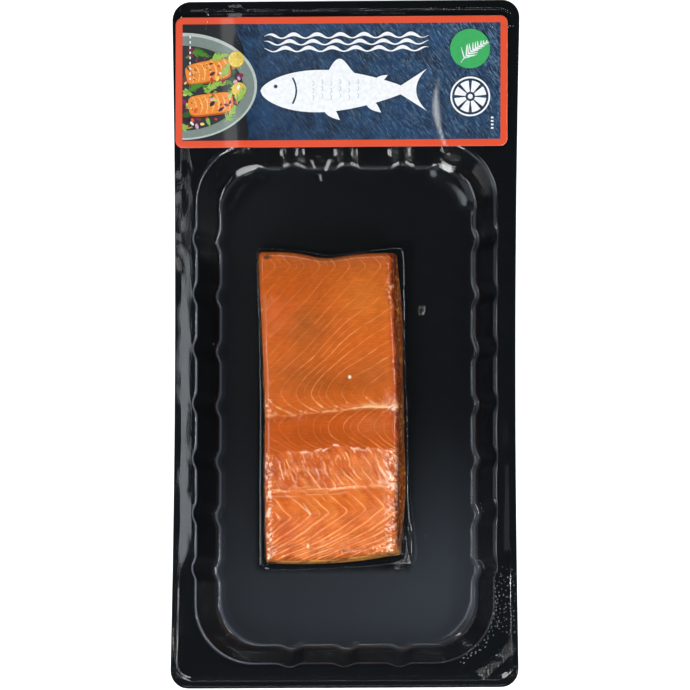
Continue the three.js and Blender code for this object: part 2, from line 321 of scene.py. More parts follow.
def trayRings(stations, lift, mouthRadius, footRadius, cornerRadius, flangeRows, wallRows):
    # the tray's upper face from its trimmed edge to the foot of its wall, raised by lift off the sheet.
    # Where the recess turns, the foot's radius goes over into cornerRadius, but hardly at the plain end
    sides = wallRings(stations, lift, mouthRadius, footRadius, wallRows)
    turns = wallRings(stations, lift, mouthRadius, cornerRadius, wallRows)
    atCorner = stations["corner"] * smooth(1.5 * np.sin(np.pi * stations["a"]))
    atCorner = atCorner * np.where(stations["quarter"] % 3 == 0, 0.15, 1)
    atCorner = atCorner[None, :, None]
    inner = sides * (1 - atCorner) + turns * atCorner
    # the rim steps up to the sealing flange at both ends, and hardly along the long sides
    lip = np.array(pack["lip"])
    rise = np.array(pack["lipRise"]) * pack["lipDrop"] - pack["lipDrop"]
    outer = roundedRings(
        stations,
        pack["width"] / 2 - lip * pack["lipAtSides"],
        pack["length"] / 2 - lip * pack["lipAtEnds"],
        pack["corner"] - lip,
        0 * lip,
        0 * lip,
        0 * lip,
        pack["waist"] + 0 * lip,
    )
    atEnds = smooth((np.abs(outer[..., 1]) - pack["length"] / 2 + 9) / 5)
    outer[..., 2] = pack["flangeTop"] + lift - pack["droop"] + rise[:, None] * atEnds
    # the flange: the last rim ring drawn in to the first wall ring
    share = smooth(np.linspace(0, 1, flangeRows + 2)[1:-1])[:, None, None] ** 0.8
    flange = outer[-1] * (1 - share) + inner[0] * share
    return np.concatenate([outer, flange, inner])


def floorRings(ring, count):
    # rings that shrink from the given one onto the recess's middle line
    half = (pack["recessLength"] - pack["recessWidth"]) / 2
    spine = ring.copy()
    spine[:, 0] = 0
    spine[:, 1] = pack["recessY"] + np.clip(ring[:, 1] - pack["recessY"], -half, half)
    share = np.linspace(0, 1, count + 1)[1:, None, None]
    return ring * (1 - share) + spine * share


def raiseFloor(rings):
    # the floor's crown: a parabola across times one along, only where the surface is low
    across = np.clip(1 - (rings[..., 0] / 50) ** 2, 0, 1)
    along = np.clip(1 - ((rings[..., 1] - pack["recessY"]) / 96) ** 2, 0, 1)
    rings[..., 2] += smooth((4 - rings[..., 2]) / 3) * pack["floorCrown"] * across * along


paintedSheen = {
    # painted highlights: a fine pale line along the mouth and one into the foot, where the film would
    # mirror
    # the lights: how far the first lies below the flange, how high the second, how far each reaches, how
    # strong both are
    "mouthDrop": 0.6,
    "mouthReach": 0.19,
    "footHeight": 1.02,
    "footReach": 0.14,
    "footShare": 0.45,
    "line": 0.15,
    "lineAtLeft": 0.45,
    # painted reflection: the floor is paler towards the plain end, kept clear of a painted shadow round the
    # portion: the portion's middle, half width and half length
    "floor": 0.075,
    "clearMiddle": (-5.4, -25),
    "clearHalf": (28.4, 62.5),
}


def paintSheetSheen(rings, wallStart, wallEnd):
    # painted sheen on the sheet: painted highlights as bells across both lines, and a painted reflection as
    # an eased ramp down the floor, kept off a painted shadow round the portion
    x, y, z = rings[..., 0], rings[..., 1], rings[..., 2]
    row = np.arange(len(rings))[:, None]
    mouth = hump((pack["flangeTop"] - paintedSheen["mouthDrop"] - z) / paintedSheen["mouthReach"])
    foot = paintedSheen["footShare"] * hump((z - paintedSheen["footHeight"]) / paintedSheen["footReach"])
    lines = mouth * (row >= wallStart) + foot * (row < wallEnd)
    # the painted lines are strongest along the left side, where the lights from the right fall on them
    atLeft = smooth((-x - 10) / 35) * smooth((60 - y) / 20)
    lines = lines * (paintedSheen["line"] + paintedSheen["lineAtLeft"] * atLeft)
    # painted reflection on the floor, paler to the plain end and the right, kept off a band round the
    # portion as painted shadow
    (midX, midY), (halfX, halfY) = paintedSheen["clearMiddle"], paintedSheen["clearHalf"]
    away = np.hypot(np.maximum(np.abs(x - midX) - halfX, 0), np.maximum(np.abs(y - midY) - halfY, 0))
    pale = smooth((-18 - y) / 92) * (1 + 0.3 * np.clip(x / 45, -1, 1)) * smooth((3 - z) / 1.5)
    return lines + paintedSheen["floor"] * pale * smooth((away - 1) / 2.5)


def makeTray(material):
    # rings from the trimmed edge over the flange, down the wall and in to the floor's middle line
    stations = makeStations(*pack["stations"])
    mouthRadius, footRadius = pack["mouthRadius"], pack["footRadius"]
    rows = pack["flangeRows"], pack["wallRows"]
    rings = trayRings(stations, 0, mouthRadius, footRadius, footRadius, *rows)
    wallEnd = len(rings)
    rings = np.concatenate([rings, floorRings(rings[-1], pack["floorRows"])])
    raiseFloor(rings)
    # the painted sheen: highlights along the mouth and foot and a reflection on the floor, in the sheet's
    # colour
    attributes = {"painted_sheen": paintSheetSheen(rings, wallEnd - pack["wallRows"], wallEnd)}
    faces = gridFaces(*rings.shape[:2], True)
    tray = buildPiece("tray_sheet", rings, faces, attributes, material, "tray")
    solid = tray.modifiers.new("sheet", "SOLIDIFY")
    solid.thickness = pack["sheet"] * mm * 0.98
    solid.offset = -1
    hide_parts("tray")


def pressedPlastic():
    # black PET sheet, heat formed over a mould: nearly black, with painted highlights as fine pale lines
    # along the mouth and the foot, and a painted reflection that makes the floor paler towards the plain
    # end. The film is bonded to its face and carries all the gloss there, so the sheet itself is dull
    look = {
        "colour": "#06090c",
        "stretched": "#0b0f13",
        "painted_sheen": "#949fb0",
        "roughness": (0.44, 0.6),
        "specular": 0.05,
        "flowSize": 6.0,  # millimetres
        "grainSize": 0.6,
        "grainDepth": 0.05,
    }
    made, tree, out = newMaterial("black_heat_formed_pet_sheet")
    point = addNode(tree, "ShaderNodeTexCoord").outputs["Object"]
    flow = addNode(
        tree, "ShaderNodeTexNoise", Vector=point, Scale=1 / (look["flowSize"] * mm), Detail=3.0
    )
    colour = addNode(
        tree,
        "ShaderNodeMix",
        {"data_type": "RGBA"},
        Factor=flow,
        A=linear(look["colour"]),
        B=linear(look["stretched"]),
    )
    # the painted sheen turns the sheet pale grey where the lines and the floor's reflection are painted
    painted_sheen = addNode(tree, "ShaderNodeAttribute", {"attribute_name": "painted_sheen"}).outputs["Fac"]
    paintedSheenColour = addNode(
        tree, "ShaderNodeMix", {"data_type": "RGBA"}, Factor=painted_sheen, A=colour, B=linear(look["painted_sheen"])
    )
    least, most = look["roughness"]
    rough = addNode(tree, "ShaderNodeMapRange", Value=flow, To_Min=least, To_Max=most)
    grainScale = 1 / (look["grainSize"] * mm)
    grain = addNode(tree, "ShaderNodeTexNoise", Vector=point, Scale=grainScale, Detail=2.0)
    bump = addNode(tree, "ShaderNodeBump", Strength=0.15, Distance=look["grainDepth"] * mm, Height=grain)
    shader = addNode(
        tree,
        "ShaderNodeBsdfPrincipled",
        Base_Color=paintedSheenColour,
        Roughness=rough,
        IOR=1.5,
        Specular_IOR_Level=look["specular"],
        Normal=bump,
    )
    tree.links.new(shader.outputs[0], out.inputs["Surface"])
    return made


# The portion's plan: its outline at the crest, at the foot, and where the film meets the floor round it.
# Each side is a curve through a few values at even steps: left and right give x from the plain end
# to the label end, bottom and top give y from left to right

outlines = {
    "crest": {
        "left": [-31.6, -31.9, -31.9, -33.2, -34.9],
        "right": [20.6, 21.1, 21.6, 21.2, 20.0, 18.8],
        "bottom": [-86.6, -86.6, -85.4, -83.2],
        "top": [37.3, 36.8, 34.5, 36.1, 36.5],
        "corner": 1.6,
    },
    "foot": {
        "left": [-31.9, -32.2, -32.2, -33.5, -35.2],
        "right": [21.4, 23.4, 22.8, 22.3, 22.0, 19.8],
        "bottom": [-86.9, -87.2, -86.2, -83.8],
        "top": [37.8, 37.3, 35.0, 36.6, 37.0],
        "corner": 1.6,
    },
    "tent": {
        "left": [-36.6, -36.4, -36.2, -36.4, -37.4],
        "right": [34.0, 27.8, 25.8, 24.4, 25.0, 27.6],
        "bottom": [-91.4, -90.6, -90.0, -89.6],
        "top": [42.2, 40.8, 38.9, 40.6, 44.0],
        "corner": 4.0,
    },
}
portion = {
    "width": 54,
    "length": 123,
    "base": 1.1,
    "crown": 0.45,  # the cut face is this much lower along its two long edges
    "shoulder": 2.1,
    "shoulderRun": 1.9,
    "rightRoll": 0.8,  # the back edge's side rolls off more softly, over rollWidth
    "rollWidth": 5.5,
    "bulge": 0.5,
    # its thickness at places along it, from the plain end
    "thickness": [(-88, 12.4), (-80, 14.8), (-68, 16.7), (-56, 17.9), (-45, 18.5)]
    + [(-20, 19), (4, 19.2), (20, 17.6), (31, 15), (38, 12.6)],
    "stations": (236, 100, 7),
    "undersideRows": 9,
    "flankRows": 20,
    "rollRows": 8,
    "faceRows": 83,
}


def curveAt(values, t):
    # a Catmull-Rom curve through the values, read at t from 0 to 1
    values = np.array(values, float)
    last = len(values) - 1
    p = np.clip(t, 0, 1) * last
    i = np.minimum(np.floor(p).astype(int), last - 1)
    w = p - i
    a, b = values[np.maximum(i - 1, 0)], values[i]
    c, d = values[i + 1], values[np.minimum(i + 2, last)]
    va, vb = (c - a) / 2, (d - b) / 2
    return (2 * b - 2 * c + va + vb) * w**3 + (3 * c - 3 * b - 2 * va - vb) * w**2 + va * w + b


def planPoint(outline, u, v):
    # x lies at share u between the left and right curves, y at share v between the bottom and top curves
    left, right = curveAt(outline["left"], v), curveAt(outline["right"], v)
    low, high = curveAt(outline["bottom"], u), curveAt(outline["top"], u)
    return left + (right - left) * u, low + (high - low) * v


def planStation(stations, inset, corner, scale):
    # shares u and v for each station of a ring that lies inset from the outline, shrunk to the middle line
    inset, corner, scale = [np.asarray(k, float).reshape(-1, 1) for k in (inset, corner, scale)]
    q, onCorner, f, a = (stations[k][None, :] for k in ("quarter", "corner", "f", "a"))
    wide, long = portion["width"], portion["length"]
    spine = (1 - wide / long) / 2
    sx = np.where(q <= 1, 1, -1)
    sy = np.where((q == 0) | (q == 3), -1, 1)
    turn = (q - 1 + a) * np.pi / 2
    reachU, reachV = 0.5 - (inset + corner) / wide, 0.5 - (inset + corner) / long
    cornerU = 0.5 + sx * reachU + corner / wide * np.cos(turn)
    cornerV = 0.5 + sy * reachV + corner / long * np.sin(turn)
    way = np.where(q <= 1, 1, -1)
    atEnd = (q == 0) | (q == 2)
    sideU = np.where(atEnd, 0.5 + way * f * reachU, 0.5 + way * (0.5 - inset / wide))
    sideV = np.where(atEnd, 0.5 - way * (0.5 - inset / long), 0.5 + way * f * reachV)
    ends = np.where(atEnd, 0.5 - way * spine, 0.5 + way * f * spine)
    middle = np.where(onCorner, 0.5 + sy * spine, ends)
    u = np.where(onCorner, cornerU, sideU)
    v = np.where(onCorner, cornerV, sideV)
    return 0.5 + (u - 0.5) * scale, middle + (v - middle) * scale


# The flesh. Four stretches from the label end down, parted by bands that cross the portion:
# long slanting fat lines, a smooth stretch with faint arcs, a torn one, and close chevrons

flesh = {
    "firstBand": [(-33, -29.6), (-22, -29.3), (-8, -28.0), (2, -26.8), (8, -26.1), (22, -26.2)],
    "tornEdge": [(-33, -45.2), (-29, -44.9), (-22, -44.3), (-12, -43.8), (-2, -41.4), (4, -42.8)]
    + [(13, -43.2), (22, -43.8)],
    "secondBand": [(-33, -59.2), (-26, -59.6), (-20, -60.0), (-14, -59.3), (-5, -59.0), (2, -57.8)]
    + [(10, -57.6), (22, -58.0)],
    # where a fat line stands along x at each y, for the long lines and for the chevrons
    "longRun": [(37.6, -9.6), (34.2, -6.2), (31.2, -3.4), (25.4, -8.5), (17.4, -15.2), (5.4, -26.2)]
    + [(-6.6, -37.6), (-13.6, -45.5), (-17.7, -48.7), (-20.7, -49.9), (-23.9, -48), (-26.7, -44)]
    + [(-30.5, -34)],
    "longPitch": 6.1,
    "arcPitch": 6.4,
    "tornPitch": 3.7,
    "chevronRun": [(-54, -13), (-58, -9), (-62.2, -5), (-65, -2.6), (-66.9, -0.7), (-67.8, 0)]
    + [(-68.9, -1.2), (-70.7, -4.0), (-71.9, -5.9), (-74.6, -10.3), (-76.8, -14.6), (-78.8, -19.6)]
    + [(-80.8, -26), (-83.3, -35), (-86, -45)],
    "chevronPitch": 7.42,
    "chevronStart": 1.3,
    "tilt": 0.104,  # the chevrons' points rise to the right by this slope
}


def bandLines(x, y):
    # height above each of the three bands, along the portion
    first = y - table(x, flesh["firstBand"], 2) - 0.3 * noise(x, y, 5, 11)
    torn = y - table(x, flesh["tornEdge"], 1.2) - 0.8 * cloudy(x, 0 * y, 3.0, 12)
    second = y - table(x, flesh["secondBand"], 2) - 0.25 * noise(x, y, 6, 13)
    return first, torn, second


def stretchShares(x, y):
    # how much a point belongs to each of the four stretches, with short changes between them
    first, torn, second = bandLines(x, y)
    above = smooth(first / 0.8 + 0.5)
    even = smooth(torn / 0.5 + 0.5) * (1 - above)
    chevrons = 1 - smooth(second / 0.8 + 0.5)
    return above, even, 1 - above - even - chevrons, chevrons


def fatPhase(x, y):
    # a count of fat lines along the portion: a line lies wherever the phase is a whole number
    first, torn, second = bandLines(x, y)
    # long lines lean from upper right to lower left, turn back at both ends, and flatten to the right
    beyond = np.maximum(x + 1.5, 0)
    flatten = 0.4 * beyond**2 / (beyond + 5) * smooth((29 - y) / 14)
    longLines = (x - flatten - table(y, flesh["longRun"], 0.9)) / flesh["longPitch"]
    # arcs are parabolas open to the right
    arcs = (x - 0.13 * (y + 34.2) ** 2 + 1.2 * noise(x, y, 6, 24)) / flesh["arcPitch"]
    # torn stretch: steep lines down to the right, wavy and uneven in their spacing
    steep = x + 0.55 * (y + 50) + 1.3 * noise(x, y, 6, 25) + 0.5 * noise(x, y, 1.8, 26)
    steep = steep / flesh["tornPitch"]
    # chevrons: steep upper arms, points to the right, lower arms that flatten out
    run = table(y - flesh["tilt"] * x, flesh["chevronRun"], 0.6)
    chevrons = (x - flesh["chevronStart"] - run + 0.5 * noise(x, y, 5, 28)) / flesh["chevronPitch"]
    lower = np.where(torn > 0, arcs, np.where(second > 0, steep, chevrons))
    phase = np.where(first > 0, longLines, lower)
    return phase + 0.05 * noise(x, y, 7, 21) + 0.03 * noise(x, y, 2.5, 22)


def lineNear(phase, width, shift=0.0):
    # 1 on a fat line, falling off over width, a share of the distance between lines
    return hump((phase + shift - np.round(phase + shift)) / width)


def relief(x, y):
    # height of the cut face over its smooth form: bands, torn flakes, soft swells and faint fat lines
    first, torn, second = bandLines(x, y)
    above, even, ragged, chevrons = stretchShares(x, y)
    phase = fatPhase(x, y)
    height = 0.14 * hump((first - 0.1) / 0.5) - 0.06 * hump((first + 0.9) / 0.8)
    height += 0.12 * hump((second - 0.5) / 0.5) - 0.22 * hump((second + 0.8) / 0.7)
    height += 0.3 * smooth(torn / 0.5 + 0.5) * smooth(-first / 3) - 0.1 * above
    flakes = lineNear(phase, 0.2) * (0.5 + 0.8 * cloudy(x, y, 2.6, 34))
    height += ragged * (0.34 * flakes + 0.2 * cloudy(x, y, 2.4, 35) + 0.08 * noise(x, y, 0.9, 36))
    height += 0.14 * cloudy(x, y, 17, 37)
    ridges = (0.03 * above + 0.1 * chevrons) * lineNear(phase, 0.09)
    height += ridges - 0.1 * chevrons * lineNear(phase, 0.15, 0.2)
    # the long edges are wrinkled where the film has gathered them
    rightEdge = smooth((x - 14.5) / 3.5) * (0.2 * above + 0.1 * even + ragged + chevrons)
    rightEdge += smooth((x - 15) / 3) * above * (hump((y - 25) / 6) + hump((y + 24) / 5))
    leftEdge = smooth((-27 - x) / 2.5) * (ragged + chevrons)
    height += (rightEdge + leftEdge) * (0.3 * cloudy(x, y, 2.2, 38) + 0.12 * noise(x, y, 1.0, 39))
    height += 0.25 * smooth((-79 - y) / 3) * smooth((x + 6) / 8) * cloudy(x, y, 2.2, 40)
    return height


def fleshHeight(u, y):
    # the thickness along the portion, less the crown towards both long edges and the roll at the right one
    thick = table(y, portion["thickness"], 3)
    inRoll = np.clip(1 - (1 - u) * portion["width"] / portion["rollWidth"], 0, 1)
    return portion["base"] + thick - portion["crown"] * (2 * u - 1) ** 2 - portion["rightRoll"] * inRoll**2


def portionRings(stations, inset, scale, share, drop, ends=("crest", "foot"), out=0.0, over=0.0, rough=1.0):
    # rings between two outlines, the first at share 0 and the second at share 1. Their height is the cut
    # face's, less drop and plus over; out pushes them sideways, and rough is the share of relief they show
    first, second = [outlines[k] for k in ends]
    u, v = planStation(stations, inset, first["corner"] + 0 * np.asarray(inset, float), scale)
    share, drop, out = [np.asarray(k, float).reshape(-1, 1) for k in (share, drop, out)]
    xa, ya = planPoint(first, u, v)
    xb, yb = planPoint(second, u, v)
    x, y = xa + (xb - xa) * share, ya + (yb - ya) * share
    x = x + out * np.sign(u - 0.5) * smooth((np.abs(u - 0.5) - 0.45) / 0.04)
    y = y + out * np.sign(v - 0.5) * smooth((np.abs(v - 0.5) - 0.475) / 0.02)
    top = fleshHeight(u, y) + rough * relief(x, y) - drop + over
    return x, y, top, share, u


# Colours of the flesh: the stretches' own oranges, then patches laid over them.
# A patch has its middle, its reach each way, its strength, its colour and the stretch that it lies in

fleshTones = {
    "depth": 0.875,  # wet under its film, the flesh is this share as bright as the tones below
    "stretches": ["#de6c22", "#cc5c18", "#de6c28", "#e27027"],
    "patches": [
        ((-15, 6), (9, 9), 0.55, "#9a5e26", 0),
        ((-18, -12), (12, 9), 0.45, "#ae6028", 0),
        ((9, 18), (10, 11), 0.6, "#f89038", 0),
        ((-24, 16), (7, 11), 0.4, "#e4601c", 0),
        ((12, -12), (9, 8), 0.45, "#c07038", 0),
        ((-4, -16), (18, 6), 0.55, "#9a5018", 0),
        ((-6, 33), (24, 3), 0.35, "#c9703a", 0),
        ((-14, -38), (12, 4), 0.6, "#b04a0a", 1),
        ((-26, -36), (6, 6), 0.45, "#cc5c16", 1),
        ((4, -39), (9, 3), 0.4, "#b85414", 1),
        ((12, -33), (8, 4), 0.4, "#dc8048", 1),
        ((12, -50), (8, 6), 0.5, "#ff9c60", 2),
        ((-22, -51), (9, 7), 0.5, "#cc5a1c", 2),
        ((-6, -66), (14, 7), 0.4, "#f5822e", 3),
        ((14, -68), (6, 8), 0.5, "#f08a50", 3),
        ((-22, -62), (8, 4), 0.35, "#d0622c", 3),
        ((-25, -74), (5, 8), 0.4, "#d05c22", 3),
    ],
    "mottle": "#c05a18",
    "glow": "#ff9a50",
    "shade": "#c4501c",
    "rightRim": "#b2440e",
    "rightLine": "#701c04",
    "lowRim": "#b2481c",
    "burnt": "#6f200d",
    "scorch": "#8a3410",
    "streak": "#b04a16",
    # single flecks of fat and a pit: middle, squeeze along x and y, reach, soft rim, strength, colour
    "spots": [
        ((2.3, -14), (1, 0.8), 0.75, 0.3, 1, "#f3e3c8"),
        ((-33.2, 13.4), (1, 1), 0.5, 0.3, 1, "#f3e3c8"),
        ((-14.6, -81.4), (1, 0.5), 0.55, 0.25, 1, "#f3e3c8"),
        ((-31.3, 35.2), (0.7, 1), 1.3, 0.6, 0.85, "#3a241c"),
    ],
    # painted highlights: bright strokes where a flake stands up and catches the light, both ends and the
    # width
    "strokes": [((-16.4, -64.4), (-13.5, -68.8), 0.3), ((-27.4, -68.4), (-26.2, -70.4), 0.2)],
}


def layOver(base, weight, hexColour):
    # the base colours mixed with one more by a weight for each point
    return base * (1 - weight[..., None]) + weight[..., None] * np.array(linear(hexColour)[:3])


def fleshColours(x, y, fromEdge):
    # colour of the cut face before its lines. fromEdge is the way in from the back edge
    shares = stretchShares(x, y)
    tones = [np.array(linear(c)[:3]) for c in fleshTones["stretches"]]
    base = sum(share[..., None] * tone for share, tone in zip(shares, tones))
    for (px, py), (rx, ry), strength, colour, stretch in fleshTones["patches"]:
        weight = strength * shares[stretch] * hump((x - px) / rx) * hump((y - py) / ry)
        base = layOver(base, weight, colour)
    mottle = 0.5 + 0.5 * cloudy(x, y, 8, 44)
    base = layOver(base, 0.35 * mottle * (shares[0] + shares[1]), fleshTones["mottle"])
    # uneven glow and shade a few millimetres across, strongest in the torn stretch and below it
    blotch = cloudy(x + 0.4 * y, 0.7 * y, 3.4, 48)
    lower = shares[2] + 0.7 * shares[3]
    base = layOver(base, 0.4 * lower * smooth(1.6 * blotch), fleshTones["glow"])
    base = layOver(base, 0.45 * lower * smooth(-1.6 * blotch), fleshTones["shade"])
    # the back edge darkens towards the smoked side
    ragged = 0.9 * noise(x, y, 3.5, 46) + 0.4 * noise(x, y, 1.2, 49)
    below = 1 - 0.3 * (shares[2] + shares[3])
    base = layOver(base, 0.5 * below * smooth((3.4 + ragged - fromEdge) / 2.4), fleshTones["rightRim"])
    base = layOver(base, 0.85 * smooth((1.0 + 0.7 * ragged - fromEdge) / 0.9), fleshTones["rightLine"])
    # the lower edge of the cut is darker, streaked and scorched in places
    edge = 0.5 + 0.5 * cloudy(x, y, 2.5, 45)
    base = layOver(base, 0.8 * edge * smooth((-80.6 - y - 0.06 * x) / 2.5), fleshTones["lowRim"])
    streaks = 0.5 + 0.5 * cloudy(0.35 * x - y, 2.2 * y + 0.6 * x, 2.4, 47)
    base = layOver(base, 0.8 * streaks * hump((x - 12) / 10) * hump((y + 78.5) / 4), fleshTones["streak"])
    burnt = smooth(1.9 * edge - 0.6) * hump((x - 5) / 5) * hump((y + 83.4) / 1.6)
    base = layOver(base, burnt, fleshTones["burnt"])
    scorched = smooth(0.8 + 1.6 * noise(x, y, 2.6, 50)) * smooth((-84.4 - y + 0.01 * x) / 1.2)
    base = layOver(base, 0.6 * scorched, fleshTones["scorch"])
    base = base * (fleshTones["depth"] - 0.04 * (shares[2] + shares[3]))[..., None]
    for (px, py), (kx, ky), reach, rim, strength, colour in fleshTones["spots"]:
        weight = strength * smooth((reach - np.hypot((x - px) * kx, (y - py) * ky)) / rim)
        base = layOver(base, weight, colour)
    return base


def fatLines(x, y, phase):
    # how clearly the fat lines show, from 0 to about 1: faint and broken in the long stretch,
    # clear in the chevrons
    above, even, ragged, chevrons = stretchShares(x, y)
    fading = smooth(0.5 + 0.9 * cloudy(x, y, 9, 51))
    clear = 0.3 + 0.55 * hump((y + 4) / 15) * hump((x - 1) / 20) + 0.6 * smooth((y - 28) / 4)
    clear += 0.35 * hump((y + 25) / 3.5)
    strength = above * clear * (0.5 + 0.7 * fading) + even * (0.25 + 0.5 * fading * smooth((x + 20) / 25))
    # in the torn stretch every line comes and goes along its length
    own = noise(np.round(phase) * 5.7, y, 2.6, 27)
    pieces = smooth(2.2 * own + 0.2 + 0.5 * smooth((x - 6) / 8) + 0.4 * hump((y + 54) / 4))
    strength += 0.85 * ragged * pieces * (1 - 0.6 * hump((y + 47) / 3) * hump((x + 16) / 9))
    fadeOut = 1 - 0.85 * smooth((y + 64) / 3) * smooth(0.7 + 1.5 * noise(x, y, 5, 59))
    lowEnd = 1 - 0.4 * smooth((-79 - y) / 4) * smooth((x + 5) / 10)
    strength += chevrons * (0.65 + 0.35 * fading) * fadeOut * lowEnd
    return strength


def fatBands(x, y, phase):
    # cream fat between the stretches, and white: pale fat on the torn edge with painted glints on the
    # flakes, along both long edges and near the lower end, both from 0 to 1
    first, torn, second = bandLines(x, y)
    above, _, ragged, chevrons = stretchShares(x, y)
    right = smooth((x + 2) / 12)
    uneven = 0.5 + 0.5 * noise(x, y, 2.2, 53)
    cream = hump((first + 0.05) / (0.15 + 0.09 * right)) * (0.1 + 0.45 * uneven + 0.4 * right)
    cream += (0.7 * right * uneven + 0.3 * smooth(2.4 * noise(x, y, 1.5, 55))) * hump((first - 0.5) / 1.0)
    # a bundle of thin lines along the second band: how far below it, width and strength
    bundle = ((1.1, 0.22, 0.35), (0.1, 0.25, 0.5), (-0.8, 0.2, 0.35), (-1.9, 0.22, 0.4))
    for k, (shift, wide, much) in enumerate(bundle):
        wander = 0.35 * noise(x, y, 7, 61 + k)
        part = smooth(0.5 + 0.9 * noise(x, y, 5, 66 + k))
        cream = np.maximum(cream, much * hump((second - shift + wander) / wide) * part)
    # short strokes fan out over the first band
    fan = lineNear(phase, 0.12) * smooth(1.8 * noise(x, y, 1.4, 58)) * hump((first - 2) / 2.2)
    cream = np.maximum(cream, 0.55 * above * fan)
    # pale beads along the torn edge: fat, with painted highlights on it
    beads = smooth(2.4 * noise(x, y, 1.1, 52) + 0.1) * smooth((x + 24) / 3) * (1 - 0.4 * right)
    ragY = torn + 0.15 + 0.5 * noise(x, y, 1.3, 71)
    white = 0.65 * hump(ragY / 0.38) * beads
    # painted glints on the torn flakes
    sparse = smooth(3.0 * noise(1.6 * x + 0.9 * y, 0.6 * y, 1.0, 73) - 0.9)
    glint = sparse * (0.3 + 0.7 * lineNear(phase, 0.3))
    where = 0.7 * hump((y + 52) / 5) * smooth((-4 - x) / 8) + smooth((x - 10) / 6)
    white = np.maximum(white, 0.6 * ragged * glint * where)
    # painted highlights along the listed strokes
    for (ax, ay), (bx, by), wide in fleshTones["strokes"]:
        reach = (bx - ax) ** 2 + (by - ay) ** 2
        along = np.clip(((x - ax) * (bx - ax) + (y - ay) * (by - ay)) / reach, 0, 1)
        off = np.hypot(x - ax - along * (bx - ax), y - ay - along * (by - ay))
        white = np.maximum(white, 0.8 * hump(off / wide) * (0.2 + 0.8 * along))
    # and painted glints of the crinkled film along both long edges, and near the lower right end
    nearRight = smooth((x - 15.5) / 3) * (1 - 0.5 * smooth((x - 19.5) / 1))
    nearEdge = nearRight + smooth((-28.4 - x) / 1.5)
    beside = ragged + chevrons + hump((y + 25.5) / 2.5)
    beside = beside + 0.6 * above * hump((y - 21) / 5) * smooth((x - 16) / 1)
    edgeGlints = smooth(3.4 * noise(x, y, 0.75, 54) - 0.7) * nearEdge * beside
    lowGlints = smooth(3.0 * noise(x, y, 0.9, 56) - 1.2) * smooth((-80 - y) / 2) * smooth((x - 8) / 4)
    white = np.maximum(white, 0.8 * np.maximum(edgeGlints, lowGlints))
    return np.clip(cream, 0, 1), np.clip(white, 0, 1)


def makeFillet(material):
    # rings from the middle of the underside out, up the sides, over the shoulder and in to the middle line
    stations = makeStations(*portion["stations"])
    underside = np.linspace(0, 1, portion["undersideRows"])
    flank = np.linspace(0.97, 0, portion["flankRows"])
    roll = np.linspace(0, np.pi / 2, portion["rollRows"] + 1)[1:]
    face = np.linspace(1, 0, portion["faceRows"] + 1)[1:]
    rollIn = portion["shoulderRun"] * (1 - np.cos(roll))
    rollDrop = portion["shoulder"] * (1 - np.sin(roll))
    inset = np.concatenate([1.0 + 0 * underside, 0.6 * (flank > 0.94), rollIn, rollIn[-1] + 0 * face])
    scale = np.concatenate([underside, 1 + 0 * flank, 1 + 0 * roll, face])
    share = np.concatenate([1 + 0 * underside, flank, 0 * roll, 0 * face])
    drop = np.concatenate([0 * underside, portion["shoulder"] + 0 * flank, rollDrop, 0 * face])
    out = np.concatenate([0 * underside, portion["bulge"] * np.sin(np.pi * flank), 0 * roll, 0 * face])
    x, y, top, share, u = portionRings(stations, inset, scale, share, drop, out=out)
    z = top * (1 - share) + portion["base"] * share
    below = np.arange(len(scale))[:, None] < len(underside)
    z = np.where(below, portion["base"], z)
    side = smooth(share * 8 + 0 * x)
    # the smoked sides are creased
    crease = 0.35 * side * cloudy(y * 0.5 + x, z * 1.6, 2.0, 41) * smooth((z - 2) / 2)
    x = x + np.where(np.abs(u - 0.5) > 0.45, np.sign(u - 0.5) * crease, 0)
    # a line keeps its width in millimetres, so its share of the phase goes with the phase's slope
    phase = fatPhase(x, y)
    step = 0.15
    slopeX = fatPhase(x + step, y) - fatPhase(x - step, y)
    slopeY = fatPhase(x, y + step) - fatPhase(x, y - step)
    slope = np.minimum(np.hypot(slopeX, slopeY) / (2 * step), 0.8)
    above, even, ragged, chevrons = stretchShares(x, y)
    cream, white = fatBands(x, y, phase)
    # the bottom end's side is golden in patches, and darker towards both corners
    gold = smooth(0.75 + 1.3 * cloudy(x, z, 4, 42)) * hump((x + 5) / 32) * (0.4 + 0.6 * smooth((z - 5) / 6))
    attributes = {
        "tone": fleshColours(x, y, (1 - u) * portion["width"]),
        "phase": phase,
        "lineWidth": np.clip((0.3 + 0.14 * chevrons + 0.12 * ragged) * slope, 0.02, 0.35),
        "lineStrength": fatLines(x, y, phase) * (1 - side),
        "cream": cream * (1 - side),
        # white: pale fat on the torn edge and painted glints on the flakes and along the edges
        "white": white * (1 - side),
        "side": side,
        "golden": side * smooth((-80 - y) / 3) * gold,
        "pale": above + even,
        "torn": ragged,
    }
    faces = gridFaces(*x.shape, True)
    points = np.stack([x, y, z], axis=-1)
    fillet = buildPiece("salmon_flesh", points, faces, attributes, material, "salmon_fillet")
    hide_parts("salmon_fillet")


